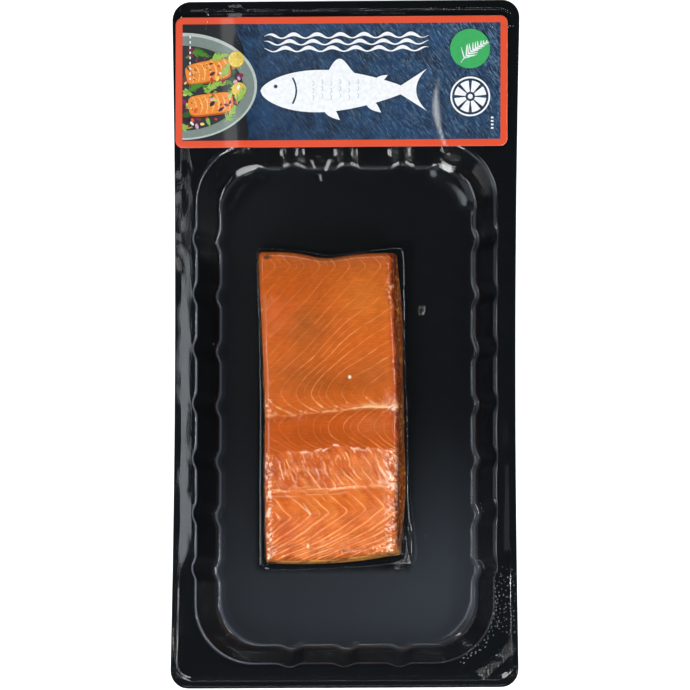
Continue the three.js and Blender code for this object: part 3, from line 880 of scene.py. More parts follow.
def smokedFlesh():
    # hot smoked salmon, cooked by the smoke and cut across: opaque and moist, with cream fat lines,
    # fine fibres across the cut, painted white glints on its flakes and edges, and brown smoked sides with
    # golden oil in their creases
    look = {
        "longLine": "#f09c60",
        "chevronLine": "#ffae6a",
        "tornLine": "#ffbe84",
        "cream": "#ffcf98",
        "white": "#ffe6d0",
        "sideDark": "#5c1806",
        "sideGold": "#a8581e",
        "oil": "#f6c462",
        "edgeGold": "#eeac50",
        "roughness": 0.45,
        "ior": 1.4,
        "fibre": (4.0, 0.45, 2.0),  # millimetres along, across and down
        "streak": (0.45, 5.0, 0.8),
    }
    made, tree, out = newMaterial("hot_smoked_salmon_flesh")
    point = addNode(tree, "ShaderNodeTexCoord").outputs["Object"]
    tone = addNode(tree, "ShaderNodeAttribute", {"attribute_name": "tone"}).outputs["Color"]
    names = ("phase", "lineWidth", "lineStrength", "cream", "white", "side", "golden", "pale", "torn")
    phase, lineWidth, lineStrength, cream, white, side, golden, pale, torn = [
        addNode(tree, "ShaderNodeAttribute", {"attribute_name": name}).outputs["Fac"] for name in names
    ]
    # muscle fibres: streaks half a millimetre across, lying nearly square to the portion's length
    along = addNode(
        tree,
        "ShaderNodeMapping",
        {"vector_type": "TEXTURE"},
        Vector=point,
        Rotation=(0, 0, 0.09),
        Scale=[s * mm for s in look["fibre"]],
    )
    fibre = addNode(tree, "ShaderNodeTexNoise", Vector=along, Scale=1.0, Detail=4.0, Roughness=0.62)
    patch = addNode(
        tree, "ShaderNodeTexNoise", Vector=point, Scale=1 / (5 * mm), Detail=4.0, Roughness=0.6
    )
    fibreShade = addNode(
        tree, "ShaderNodeMapRange", Value=fibre, From_Min=0.3, From_Max=0.7, To_Min=0.82, To_Max=1.12
    )
    patchShade = addNode(
        tree, "ShaderNodeMapRange", Value=patch, From_Min=0.3, From_Max=0.7, To_Min=0.9, To_Max=1.08
    )
    shade = addNode(tree, "ShaderNodeMath", {"operation": "MULTIPLY"}, i0=fibreShade, i1=patchShade)
    colour = addNode(tree, "ShaderNodeVectorMath", {"operation": "SCALE"}, i0=tone, Scale=shade)
    # fat lines wherever the phase is a whole number, a little frayed
    fray = addNode(tree, "ShaderNodeTexNoise", Vector=point, Scale=1 / (1.1 * mm), Detail=2.0)
    frayed = addNode(tree, "ShaderNodeMath", {"operation": "MULTIPLY_ADD"}, i0=fray, i1=0.06, i2=phase)
    centred = addNode(tree, "ShaderNodeMath", {"operation": "ADD"}, i0=frayed, i1=0.47)
    within = addNode(tree, "ShaderNodeMath", {"operation": "FRACT"}, i0=centred)
    fromLine = addNode(tree, "ShaderNodeMath", {"operation": "SUBTRACT"}, i0=within, i1=0.5)
    away = addNode(tree, "ShaderNodeMath", {"operation": "ABSOLUTE"}, i0=fromLine)
    swell = addNode(tree, "ShaderNodeTexNoise", Vector=point, Scale=1 / (2.6 * mm), Detail=2.0)
    wide = addNode(
        tree, "ShaderNodeMapRange", Value=swell, From_Min=0.3, From_Max=0.7, To_Min=0.55, To_Max=1.35
    )
    wide = addNode(tree, "ShaderNodeMath", {"operation": "MULTIPLY"}, i0=lineWidth, i1=wide)
    share = addNode(tree, "ShaderNodeMath", {"operation": "DIVIDE"}, i0=away, i1=wide)
    soft = {"interpolation_type": "SMOOTHSTEP"}
    line = addNode(tree, "ShaderNodeMapRange", soft, Value=share, From_Max=1.3, To_Min=1.0, To_Max=0.0)
    coming = addNode(tree, "ShaderNodeTexNoise", Vector=point, Scale=1 / (4.5 * mm), Detail=3.0)
    coming = addNode(
        tree, "ShaderNodeMapRange", Value=coming, From_Min=0.32, From_Max=0.62, To_Min=0.3, To_Max=1.1
    )
    line = addNode(tree, "ShaderNodeMath", {"operation": "MULTIPLY"}, i0=line, i1=coming)
    # fainter ones half way between them
    fromHalf = addNode(tree, "ShaderNodeMath", {"operation": "SUBTRACT"}, i0=0.5, i1=away)
    halfShare = addNode(tree, "ShaderNodeMath", {"operation": "DIVIDE"}, i0=fromHalf, i1=wide)
    faint = addNode(tree, "ShaderNodeTexNoise", Vector=point, Scale=1 / (6 * mm), Detail=3.0)
    faint = addNode(tree, "ShaderNodeMapRange", Value=faint, From_Min=0.42, From_Max=0.62, To_Max=0.6)
    half = addNode(tree, "ShaderNodeMapRange", soft, Value=halfShare, To_Min=faint, To_Max=0.0)
    line = addNode(tree, "ShaderNodeMath", {"operation": "MAXIMUM"}, i0=line, i1=half)
    line = addNode(tree, "ShaderNodeMath", {"operation": "MULTIPLY"}, i0=line, i1=lineStrength)
    lineColour = addNode(
        tree,
        "ShaderNodeMix",
        {"data_type": "RGBA"},
        Factor=pale,
        A=linear(look["chevronLine"]),
        B=linear(look["longLine"]),
    )
    lineColour = addNode(
        tree, "ShaderNodeMix", {"data_type": "RGBA"}, Factor=torn, A=lineColour, B=linear(look["tornLine"])
    )
    # pale fat and painted glints come in with the white layer
    layers = ((line, lineColour), (cream, linear(look["cream"])), (white, linear(look["white"])))
    for much, over in layers:
        colour = addNode(tree, "ShaderNodeMix", {"data_type": "RGBA"}, Factor=much, A=colour, B=over)
    # the smoked sides: dark red brown, gold in streaks along them, and bright specks of oil
    down = addNode(
        tree,
        "ShaderNodeMapping",
        {"vector_type": "TEXTURE"},
        Vector=point,
        Scale=[s * mm for s in look["streak"]],
    )
    streak = addNode(tree, "ShaderNodeTexNoise", Vector=down, Scale=1.0, Detail=4.0, Roughness=0.65)
    goldShare = addNode(tree, "ShaderNodeMapRange", Value=streak, From_Min=0.48, From_Max=0.66)
    speck = addNode(tree, "ShaderNodeTexNoise", Vector=point, Scale=1 / (1.2 * mm), Detail=2.0)
    oilShare = addNode(tree, "ShaderNodeMapRange", Value=speck, From_Min=0.6, From_Max=0.68)
    sideColour = addNode(
        tree,
        "ShaderNodeMix",
        {"data_type": "RGBA"},
        Factor=goldShare,
        A=linear(look["sideDark"]),
        B=linear(look["sideGold"]),
    )
    for much, over in ((golden, linear(look["edgeGold"])), (oilShare, linear(look["oil"]))):
        sideColour = addNode(
            tree, "ShaderNodeMix", {"data_type": "RGBA"}, Factor=much, A=sideColour, B=over
        )
    colour = addNode(tree, "ShaderNodeMix", {"data_type": "RGBA"}, Factor=side, A=colour, B=sideColour)
    grain = addNode(tree, "ShaderNodeBump", Strength=0.5, Distance=0.2 * mm, Height=fibre)
    shader = addNode(
        tree,
        "ShaderNodeBsdfPrincipled",
        Base_Color=colour,
        Roughness=look["roughness"],
        IOR=look["ior"],
        Specular_IOR_Level=0.12,
        Subsurface_Weight=0.15,
        Subsurface_Radius=(1.0, 0.35, 0.12),
        Subsurface_Scale=1.2 * mm,
        Normal=grain,
    )
    tree.links.new(shader.outputs[0], out.inputs["Surface"])
    return made


# The clear film: it lies on the flange, wall and floor, rises in a tent to the portion and closes over it

film = {
    "gap": 0.18,
    "overFish": 0.22,
    "mouthRadius": 2.8,  # it bends a little more sharply than the sheet into the recess
    # drawn tight, it cuts the corner between wall and floor, most of all where the recess turns
    "footRadius": 5.2,
    "cornerRadius": 12.0,
    "swell": 0.3,  # slow unevenness of the film on the flange
    "leftRise": 0.36,  # it stands off the flange along the left mouth
    "foldX": -35.6,  # a soft fold across the broad end of the flange
    "stations": (180, 104, 22),
    "flangeRows": 14,
    "wallRows": 38,
    "floorRows": 7,
    "tentRows": 14,
    "rollRows": 8,
    "faceRows": 46,
}


def filmLift(x, y):
    # how far the film stands off the tray: a fold across the broad end, a rise at the left, slow swells
    lift = 0.4 * hump((x - film["foldX"] + 0.04 * y) / 4.4) * smooth((y - 74) / 8)
    lift += film["leftRise"] * hump((x + 60.2) / 8.5) * smooth((y + 125) / 8) * smooth((74 - y) / 6)
    awayX, awayY = np.maximum(np.abs(x) - 36, 0), np.maximum(np.abs(y + 23.6) - 81, 0)
    onFlange = smooth((np.hypot(awayX, awayY) - 24) / 5)
    swell = 0.5 + 0.5 * cloudy(x, y, 22, 61) + 0.3 * cloudy(x, y, 11, 62) * smooth((-x - 55) / 4)
    # it lies flatter at the plain end
    return lift + onFlange * film["swell"] * swell * (1 - 0.85 * smooth((-96 - y) / 14))


def filmCrinkle(x, y, onFish, onTent):
    # how crinkled the film is, from 0 to 1: by the pleat, over the portion's edges and where the tent
    # is gathered
    crinkle = 0.6 * hump((x + 9.9) / 5) * hump((y - 77) / 3)
    above, even, ragged, chevrons = stretchShares(x, y)
    edgeShare = 0.3 * above + 0.2 * even + ragged + chevrons + 0.8 * hump((y + 24) / 4)
    rightEdge = smooth((x - 14.5) / 3.5) * edgeShare
    leftEdge = smooth((-26.5 - x) / 3) * (ragged + chevrons)
    over = 0.04 + np.clip(rightEdge + leftEdge, 0, 1) * 0.9 + 0.25 * ragged
    over += 0.4 * smooth((-80 - y) / 2.5) * smooth((x + 4) / 8)
    tentCorner = onTent * smooth((x - 19) / 2) * smooth((-68 - y) / 5) * smooth((25.5 - x) / 1.5) * 0.5
    return np.where(onFish, over, np.maximum(crinkle, tentCorner))


def makeFilm(material):
    # the tray's rings again, on along the floor to the tent's foot, up the tent and in over the portion
    stations = makeStations(*film["stations"])
    radii = film["mouthRadius"], film["footRadius"], film["cornerRadius"]
    rings = trayRings(stations, film["gap"], *radii, film["flangeRows"], film["wallRows"])
    # at the plain end it doesn't follow the flange's drooping edge
    taut = smooth((-82 - rings[..., 1]) / 10) * (rings[..., 2] > pack["flangeTop"] - 0.3)
    taut = taut * (np.arange(len(rings)) >= len(pack["lip"]) - 1)[:, None]
    rings[..., 2] += (pack["flangeTop"] + film["gap"] + 0.1 - rings[..., 2]) * taut
    xt, yt = portionRings(stations, 0, 1, 0, 0, ends=("tent", "tent"))[:2]
    tentFoot = np.stack([xt[0], yt[0], 0 * xt[0] + pack["sheet"] + film["gap"]], axis=-1)
    share = np.linspace(0, 1, film["floorRows"] + 1)[1:, None, None]
    rings = np.concatenate([rings, rings[-1] * (1 - share) + tentFoot * share])
    raiseFloor(rings)
    rings[..., 2] += filmLift(rings[..., 0], rings[..., 1])
    # over the portion: up its shoulder and in to its middle line
    roll = np.linspace(0, np.pi / 2, film["rollRows"])
    face = np.linspace(1, 0, film["faceRows"] + 1)[1:]
    inset = portion["shoulderRun"] * np.concatenate([1 - np.cos(roll), 1 + 0 * face])
    scale = np.concatenate([1 + 0 * roll, face])
    drop = (portion["shoulder"] + 0.6) * np.concatenate([1 - np.sin(roll), 0 * face])
    out = np.concatenate([0.5 * (1 - np.sin(roll)) + 0.15, 0 * face])
    x, y, top = portionRings(
        stations, inset, scale, 0 * inset, drop, out=out, over=film["overFish"], rough=0.9
    )[:3]
    over = np.stack([x, y, top], axis=-1)
    # the tent: a long flat foot, then upright against the shoulder: height t^5 over 1 - (1 - t)^1.3 across
    rise = np.linspace(0, 1, film["tentRows"] + 2)[1:-1, None]
    foot, high = rings[-1], over[0]
    tent = foot + (high - foot) * (1 - (1 - rise) ** 1.3)[..., None]
    tent[..., 2] = foot[..., 2] + (high[..., 2] - foot[..., 2]) * rise**5
    # it is gathered round the portion's lower right corner
    tx, ty = tent[..., 0], tent[..., 1]
    gathered = smooth((tx - 20) / 2) * smooth((26 - tx) / 2)
    gathered = gathered * smooth((-69 - ty) / 4) * smooth((ty + 88) / 3)
    pleats = np.abs(noise(tx * 1.4, ty, 1.8, 74)) + 0.5 * np.abs(noise(tx, ty, 0.9, 75))
    tent[..., 2] += gathered * pleats * 9 * rise**1.5 * (1 - rise)
    lying = len(rings)
    rings = np.concatenate([rings, tent, over])
    row = np.arange(len(rings))[:, None]
    onFish = row >= lying + len(tent)
    onShoulder = onFish & (row < lying + len(tent) + len(roll) - 2)
    onTent = (row >= lying) & ~onFish
    x, y, z = rings[..., 0], rings[..., 1], rings[..., 2]
    # pressed into the fibres it is duller than where it is drawn over the shoulder
    crinkle = filmCrinkle(x, y, onFish, onTent)
    ragged = stretchShares(x, y)[2]
    dull = np.where(onShoulder, 0.09, 0.14 - 0.02 * ragged - 0.03 * smooth((crinkle - 0.3) / 0.3))
    attributes = {
        "crinkle": crinkle,
        "gloss": np.where(onFish, dull, 0.07 + 0.1 * smooth((2.2 - z) / 0.9) * (row < lying)),
    }
    faces = gridFaces(*x.shape, True)
    skin = buildPiece("clear_skin_film", rings, faces, attributes, material, "skin_film")
    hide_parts("skin_film")
    return rings


def heightOn(rings, x, y):
    # the film's height at each x and y: the four nearest points of its rings, weighted by nearness
    near = rings.reshape(-1, 3)
    inside = (near[:, 0] > x.min() - 3) & (near[:, 0] < x.max() + 3)
    inside &= (near[:, 1] > y.min() - 3) & (near[:, 1] < y.max() + 3)
    near = near[inside]
    apart = (near[None, :, 0] - x.reshape(-1, 1)) ** 2 + (near[None, :, 1] - y.reshape(-1, 1)) ** 2
    closest = np.argpartition(apart, 4, axis=1)[:, :4]
    weight = 1 / (np.take_along_axis(apart, closest, 1) + 0.01)
    height = (near[:, 2][closest] * weight).sum(1) / weight.sum(1)
    return height.reshape(x.shape)


creases = {
    # ridges gathered in the film: points along each, its width and its height
    "ridges": [
        ([(57.8, 127.4), (61, 127.2), (65, 127.3), (69.4, 127.1)], 1.3, 0.4),
        ([(-69.0, -118), (-68.6, -123), (-67, -129), (-64.6, -133.6)], 1.3, 0.45),
        ([(-68.4, -112), (-69.0, -116), (-68.8, -121)], 1.1, 0.4),
        ([(-56.0, 126.5), (-55.7, 131.0), (-55.9, 135.4)], 1.4, 0.3),
    ],
    # crumpled fields: middle, length, width, way, height
    "fields": [((61.1, -127.3), 19.0, 5.0, 0.758, 1.25), ((24.3, -79.0), 13.0, 3.6, 1.5, 1.2)],
    "step": 0.26,
    # flat facets where the film bridges the ribs and corners of the label end's wall, and the folds that it
    # makes there: upper and lower end in plan, height at the upper one, widths at both, and the key light
    # that they face
    "facets": [
        ((-25.7, 79.1), (-25.9, 75.3), 14.4, (1.5, 1.4), "right"),
        ((-19.5, 79.3), (-19.7, 75.3), 14.4, (1.6, 1.6), "left"),
        ((-16.9, 79.3), (-16.9, 75.3), 14.4, (0.9, 0.9), "right"),
        ((-4.0, 79.1), (-4.2, 75.3), 14.4, (1.9, 1.5), "right"),
        ((2.7, 79.1), (2.6, 75.3), 14.4, (0.9, 0.9), "left"),
        ((4.4, 79.1), (4.5, 75.3), 14.4, (0.9, 0.9), "left"),
        ((17.6, 79.1), (17.7, 74.9), 14.4, (2.0, 1.8), "right"),
        ((25.2, 79.1), (25.7, 74.9), 14.4, (1.5, 1.3), "left"),
        ((-15.1, 76.6), (-13.0, 71.3), 5.2, (1.5, 1.1), "right"),
        ((-6.4, 75.8), (-9.6, 70.5), 5.4, (2.5, 1.5), "left"),
        ((-11.2, 70.3), (-10.7, 66.0), 2.4, (1.8, 0.4), "left"),
        ((36.2, 74.0), (43.2, 70.2), 5.2, (3.6, 4.0), "left"),
        ((-41.0, 79.3), (-41.4, 76.4), 14.5, (0.6, 0.5), "left"),
        ((-39.3, 79.3), (-38.6, 77.6), 14.5, (0.7, 0.5), "left"),
        ((-45.2, 76.9), (-42.7, 78.1), 12.0, (0.5, 0.4), "left"),
        ((38.9, 79.3), (38.8, 77.6), 14.5, (0.6, 0.6), "right"),
        ((37.6, 78.0), (39.8, 77.2), 13.6, (0.6, 0.5), "right"),
        ((40.8, 77.0), (42.1, 75.9), 13.0, (0.8, 0.7), "right"),
    ],
    # slopes along x and y of a facet that faces the right or the left key light
    "facing": {"right": (-0.29, 0.56), "left": (0.2, 0.56)},
}


def makeCreases(rings, material):
    # one grid for each crease, all standing on the film. A ridge is high times (1 - s^2)^2 over it at the
    # share s of its half width
    grids = []
    crinkles = []
    for path, width, high in creases["ridges"]:
        path = np.array(path, float)
        t = np.linspace(0, 1, 40)
        knots = np.linspace(0, 1, len(path))
        line = np.stack([np.interp(t, knots, path[:, k]) for k in (0, 1)], axis=1)
        ends = np.sin(np.pi * t) ** 0.5
        grid = stroke(line, width * (0.35 + 0.65 * ends), 9)
        s = np.linspace(-1, 1, 9)[:, None]
        x, y = grid[..., 0], grid[..., 1]
        base = heightOn(rings, x, y)
        onLabel = labelWave(x - label["x"], y - label["y"]) + label["z"] + label["paper"]
        overLabel = np.abs(x - label["x"]) < label["width"] / 2
        overLabel &= np.abs(y - label["y"]) < label["height"] / 2
        base = np.where(overLabel, np.maximum(base, onLabel), base)
        z = base + 0.03 + high * (1 - s**2) ** 2 * ends
        grids.append(np.concatenate([grid, z[..., None]], axis=-1))
        crinkles.append(0.05)
    for (px, py), length, width, way, high in creases["fields"]:
        s = np.arange(-length / 2, length / 2, creases["step"])[None, :]
        t = np.arange(width / 2, -width / 2, -creases["step"])[:, None]
        x = px + s * np.cos(way) - t * np.sin(way)
        y = py + s * np.sin(way) + t * np.cos(way)
        fade = smooth(3 * (1 - np.abs(2 * s / length))) * smooth(2.2 * (1 - np.abs(2 * t / width)))
        # crumple: ridges where the noise crosses zero, at three sizes
        folds = (1 - np.abs(noise(s * 0.7, t, 2.4, 91))) + 0.5 * (1 - np.abs(noise(s, t * 0.8, 1.3, 92)))
        folds += 0.3 * (1 - np.abs(noise(s, t, 0.7, 93)))
        z = heightOn(rings, x, y) + 0.04 + high * fade * (folds - 0.6)
        grids.append(np.stack([x, y, np.maximum(z, heightOn(rings, x, y) + 0.02)], axis=-1))
        crinkles.append(0.5)
    for upper, lower, z, widths, side in creases["facets"]:
        t = np.linspace(0, 1, 10)
        line = np.array(upper) * (1 - t[:, None]) + np.array(lower) * t[:, None]
        wander = 0.08 * noise(line[:, 0] * 3, line[:, 1] * 3, 2.0, 94)
        grid = stroke(line, 1.25 * (widths[0] * (1 - t) + widths[1] * t) + wander, 9)
        slopeX, slopeY = creases["facing"][side]
        plane = z + slopeX * (grid[..., 0] - upper[0]) + slopeY * (grid[..., 1] - upper[1])
        # its edges run down into the film below
        s = np.linspace(-1, 1, 9)[:, None]
        plane = plane - 0.02 * s**2
        under = heightOn(rings, grid[..., 0], grid[..., 1]) - 0.1
        rim = (np.abs(s) > 0.99) | (t[None, :] < 0.01) | (t[None, :] > 0.99)
        grids.append(np.concatenate([grid, np.where(rim, under, plane)[..., None]], axis=-1))
        crinkles.append(0.05)
    points, faces, counts = joinGrids(grids)
    crinkle = np.repeat(crinkles, counts)
    attributes = {"crinkle": crinkle, "gloss": 0 * crinkle + 0.06}
    buildPiece("film_creases", points, faces[:, ::-1], attributes, material, "skin_film", merge=False)


def clearFilm():
    # clear PE barrier film, drawn on hot under vacuum: it gives a wet gloss to all that it covers,
    # sharp where it is taut, softer on the flat floor, and broken into glints where it is crinkled
    look = {"ior": 1.5, "crinkleSize": 1.8}
    made, tree, out = newMaterial("clear_pe_skin_film")
    point = addNode(tree, "ShaderNodeTexCoord").outputs["Object"]
    crinkle = addNode(tree, "ShaderNodeAttribute", {"attribute_name": "crinkle"}).outputs["Fac"]
    rough = addNode(tree, "ShaderNodeAttribute", {"attribute_name": "gloss"}).outputs["Fac"]
    scale = 1 / (look["crinkleSize"] * mm)
    creased = addNode(tree, "ShaderNodeTexNoise", Vector=point, Scale=scale, Detail=3.0, Roughness=0.6)
    height = addNode(tree, "ShaderNodeMath", {"operation": "MULTIPLY"}, i0=creased, i1=crinkle)
    bump = addNode(tree, "ShaderNodeBump", Strength=1.0, Distance=0.9 * mm, Height=height)
    clear = addNode(tree, "ShaderNodeBsdfTransparent", Color=(0.985, 0.99, 0.985, 1))
    gloss = addNode(tree, "ShaderNodeBsdfAnisotropic", Color=(1, 1, 1, 1), Roughness=rough, Normal=bump)
    # mirror share by Schlick's rule, alike from both sides: f + (1 - f) (1 - cos)^5, where
    # f = ((n - 1) / (n + 1))^2
    straight = ((look["ior"] - 1) / (look["ior"] + 1)) ** 2
    facing = addNode(tree, "ShaderNodeLayerWeight", Blend=0.5, Normal=bump).outputs["Facing"]
    steep = addNode(tree, "ShaderNodeMath", {"operation": "POWER"}, i0=facing, i1=5.0)
    share = addNode(
        tree, "ShaderNodeMath", {"operation": "MULTIPLY_ADD"}, i0=steep, i1=1 - straight, i2=straight
    )
    shader = addNode(tree, "ShaderNodeMixShader", Fac=share, i1=clear, i2=gloss)
    tree.links.new(shader.outputs[0], out.inputs["Surface"])
    return made


# Bubbles and beads of moisture caught by the film: low domes that stand on it, and a ring shaped one
# over the floor

bubbles = {
    "seed": 5,
    "field": 84,  # beads on the flange at the lower right
    "alongMouth": 44,
    "loose": 22,
    "specks": [(-38.9, -94.2), (-37.2, -98.8), (-63.6, -104.7), (31.5, -76), (31.8, -97), (5.4, -110.5)],
    "radius": (0.14, 0.3),
    "ringAt": (29.4, 14.9),
    "ringRadius": 2.0,
    "rows": 5,
    "around": 12,
}


def domes(centres, radii, heights, stretch, angle):
    # low domes as joined grids: a share s of the radius outwards, at height h (1 - s^2), a turn round
    s = np.linspace(1, 0, bubbles["rows"])[None, :, None]
    turn = np.linspace(0, 2 * np.pi, bubbles["around"] + 1)[None, None, :-1]
    columns = [np.asarray(k, float)[:, None, None] for k in (radii, heights, stretch, angle)]
    radii, heights, stretch, angle = columns
    across, along = s * radii * np.cos(turn), s * radii * np.sin(turn) * stretch
    x = centres[:, 0, None, None] + across * np.cos(angle) - along * np.sin(angle)
    y = centres[:, 1, None, None] + across * np.sin(angle) + along * np.cos(angle)
    z = centres[:, 2, None, None] + heights * (1 - s**2) + 0 * turn
    points = np.stack([x, y, z], axis=-1)
    count, rows, around = x.shape
    faces = gridFaces(rows, around, True)
    shift = (np.arange(count) * rows * around)[:, None, None]
    return points.reshape(-1, 3), (faces[None] + shift).reshape(-1, 4)


def makeBubbles(rings, beadMaterial, filmMaterial):
    # all beads in one piece, at places drawn at random in rows and fields, and the ring shaped bubble
    draw = np.random.default_rng(bubbles["seed"])
    # a row above the label, close together at the left and in two short runs at the right
    edgeX = np.concatenate([np.arange(-57.6, -25, 1.0), np.arange(3.2, 9, 1.0), np.arange(14.4, 24, 1.0)])
    edgeX = edgeX[draw.uniform(0, 1, len(edgeX)) < 0.8]
    edge = np.stack([edgeX, 132.9 + draw.uniform(-0.2, 0.2, len(edgeX))], axis=-1)
    # a field on the flange, in slanting rows
    n = bubbles["field"]
    k = np.arange(n)
    field = np.stack([60.4 + 1.5 * (k % 6) + draw.uniform(-0.7, 0.7, n), -90 - 1.9 * (k // 6)], axis=-1)
    field[:, 1] += -0.5 * (k % 6) + draw.uniform(-0.9, 0.9, n)
    # beads drawn out along the mouth of the recess, round its corner
    n = bubbles["alongMouth"]
    turn = np.linspace(0.15, -1.15, n) + draw.uniform(-0.02, 0.02, n)
    reach = pack["recessCorner"] + draw.uniform(0.6, 3.4, n)
    cornerX = pack["recessWidth"] / 2 - pack["recessCorner"]
    cornerY = pack["recessY"] - pack["recessLength"] / 2 + pack["recessCorner"]
    mouth = np.stack([cornerX + reach * np.cos(turn), cornerY + reach * np.sin(turn)], axis=-1)
    # loose ones over the floor, clear of the portion
    n = bubbles["loose"]
    loose = np.stack([draw.uniform(-44, 44, n), draw.uniform(-112, 60, n)], axis=-1)
    loose = loose[(np.abs(loose[:, 0] + 6) > 33) | (loose[:, 1] < -94) | (loose[:, 1] > 46)]
    plan = np.concatenate([edge, field, loose, bubbles["specks"], mouth])
    # each stands on the film
    onFilm = np.array([heightOn(rings, px + np.zeros(1), py + np.zeros(1))[0] for px, py in plan])
    centres = np.concatenate([plan, onFilm[:, None] + 0.02], axis=1)
    radii = draw.uniform(*bubbles["radius"], len(centres))
    radii[len(edge) + len(field) : -len(mouth)] *= 0.8
    stretch = np.ones(len(centres))
    stretch[-len(mouth) :] = 1.4
    angle = np.zeros(len(centres))
    angle[-len(mouth) :] = turn
    points, faces = domes(centres, radii, 0.45 * radii, stretch, angle)
    buildPiece("trapped_bubbles", points, faces, {}, beadMaterial, "skin_film")
    # the ring shaped bubble: a low rounded rim about a hollow
    s = np.linspace(1, 0, 11)[:, None]
    around = np.linspace(0, 2 * np.pi, 33)[None, :-1]
    reach = bubbles["ringRadius"] * s
    x = bubbles["ringAt"][0] + reach * np.cos(around)
    y = bubbles["ringAt"][1] + reach * np.sin(around)
    z = 1.22 + 0.5 * hump((s - 0.62) / 0.24) + 0 * around
    points = np.stack([x, y, z], axis=-1)
    faces = gridFaces(*x.shape, True)
    attributes = {"crinkle": np.zeros(points.shape[:2]), "gloss": np.zeros(points.shape[:2]) + 0.08}
    buildPiece("ring_bubble", points, faces, attributes, filmMaterial, "skin_film")


def trappedAir():
    # air and moisture caught by the film: each bead scatters some light, so it shows grey on the black
    # sheet
    look = {"colour": "#aab3ba", "paler": "#e8edf0", "grain": 0.3, "roughness": 0.25, "share": 0.22}
    made, tree, out = newMaterial("beads_of_trapped_air")
    point = addNode(tree, "ShaderNodeTexCoord").outputs["Object"]
    grain = addNode(tree, "ShaderNodeTexNoise", Vector=point, Scale=1 / (look["grain"] * mm), Detail=2.0)
    colour = addNode(
        tree,
        "ShaderNodeMix",
        {"data_type": "RGBA"},
        Factor=grain,
        A=linear(look["colour"]),
        B=linear(look["paler"]),
    )
    shader = addNode(
        tree,
        "ShaderNodeBsdfPrincipled",
        Base_Color=colour,
        Roughness=look["roughness"],
        IOR=1.33,
        Alpha=look["share"],
    )
    tree.links.new(shader.outputs[0], out.inputs["Surface"])
    return made


# The label

label = {
    "width": 133.4,
    "height": 52.6,
    "corner": 3,
    "x": -1.6,
    "y": 105.4,
    "z": 15.7,
    "border": 2.8,
    "paper": 0.14,
    "foldX": -41.4,  # in the label's own x and y, as all below
    "creaseX": 38.2,
    "stations": (150, 60, 12),
    "rows": 60,
}


def labelWave(x, y):
    # waves of the stuck paper, in its own x and y: the soft fold, a hard crease and slow swells
    wave = 0.12 * noise(x, y, 26, 81) + 0.03 * noise(x, y, 9, 82)
    wave += 0.42 * hump((x - label["foldX"] + 0.04 * y) / 4.4)
    wave += 0.3 * creaseShare(x, y)
    wave += 0.25 * hump((x - 2) / 8) * smooth((-18 - y) / 7)
    return wave


def creaseShare(x, y):
    # the crease: a slim bent spindle from mid height down to the edge, widest a third of the way up
    centre = label["creaseX"] + 0.012 * (y + 8) ** 2 - 0.2
    width = 0.35 + 0.75 * hump((y + 12) / 7)
    return hump((x - centre) / width) * smooth((4 - y) / 12)


def labelPoint(x, y, over=0.0):
    # a point of the label's face from its own x and y
    z = label["z"] + label["paper"] + over + labelWave(x, y)
    return np.stack([x + label["x"], y + label["y"], z], axis=-1)


def makeLabel(material):
    # a rounded rectangle as rings that shrink from its outline to its middle line
    stations = makeStations(*label["stations"])
    halfX, halfY = label["width"] / 2, label["height"] / 2
    outline = roundedRings(stations, halfY, halfX, label["corner"], 0, 0, 0, 0)[0]
    outline = np.stack([outline[:, 1], -outline[:, 0]], axis=-1)
    spine = np.stack([np.clip(outline[:, 0], halfY - halfX, halfX - halfY), 0 * outline[:, 0]], axis=-1)
    share = np.linspace(0, 1, label["rows"])[:, None, None]
    flat = outline * (1 - share) + spine * share
    points = labelPoint(flat[..., 0], flat[..., 1])
    # the crease's share, for the painted highlight along it
    creaseHighlight = {"creaseHighlight": creaseShare(flat[..., 0], flat[..., 1])}
    faces = gridFaces(*points.shape[:2], True)
    piece = buildPiece("label_paper", points, faces, creaseHighlight, material, "label")
    solid = piece.modifiers.new("paper", "SOLIDIFY")
    solid.thickness = label["paper"] * mm
    solid.offset = -1
    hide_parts("label")


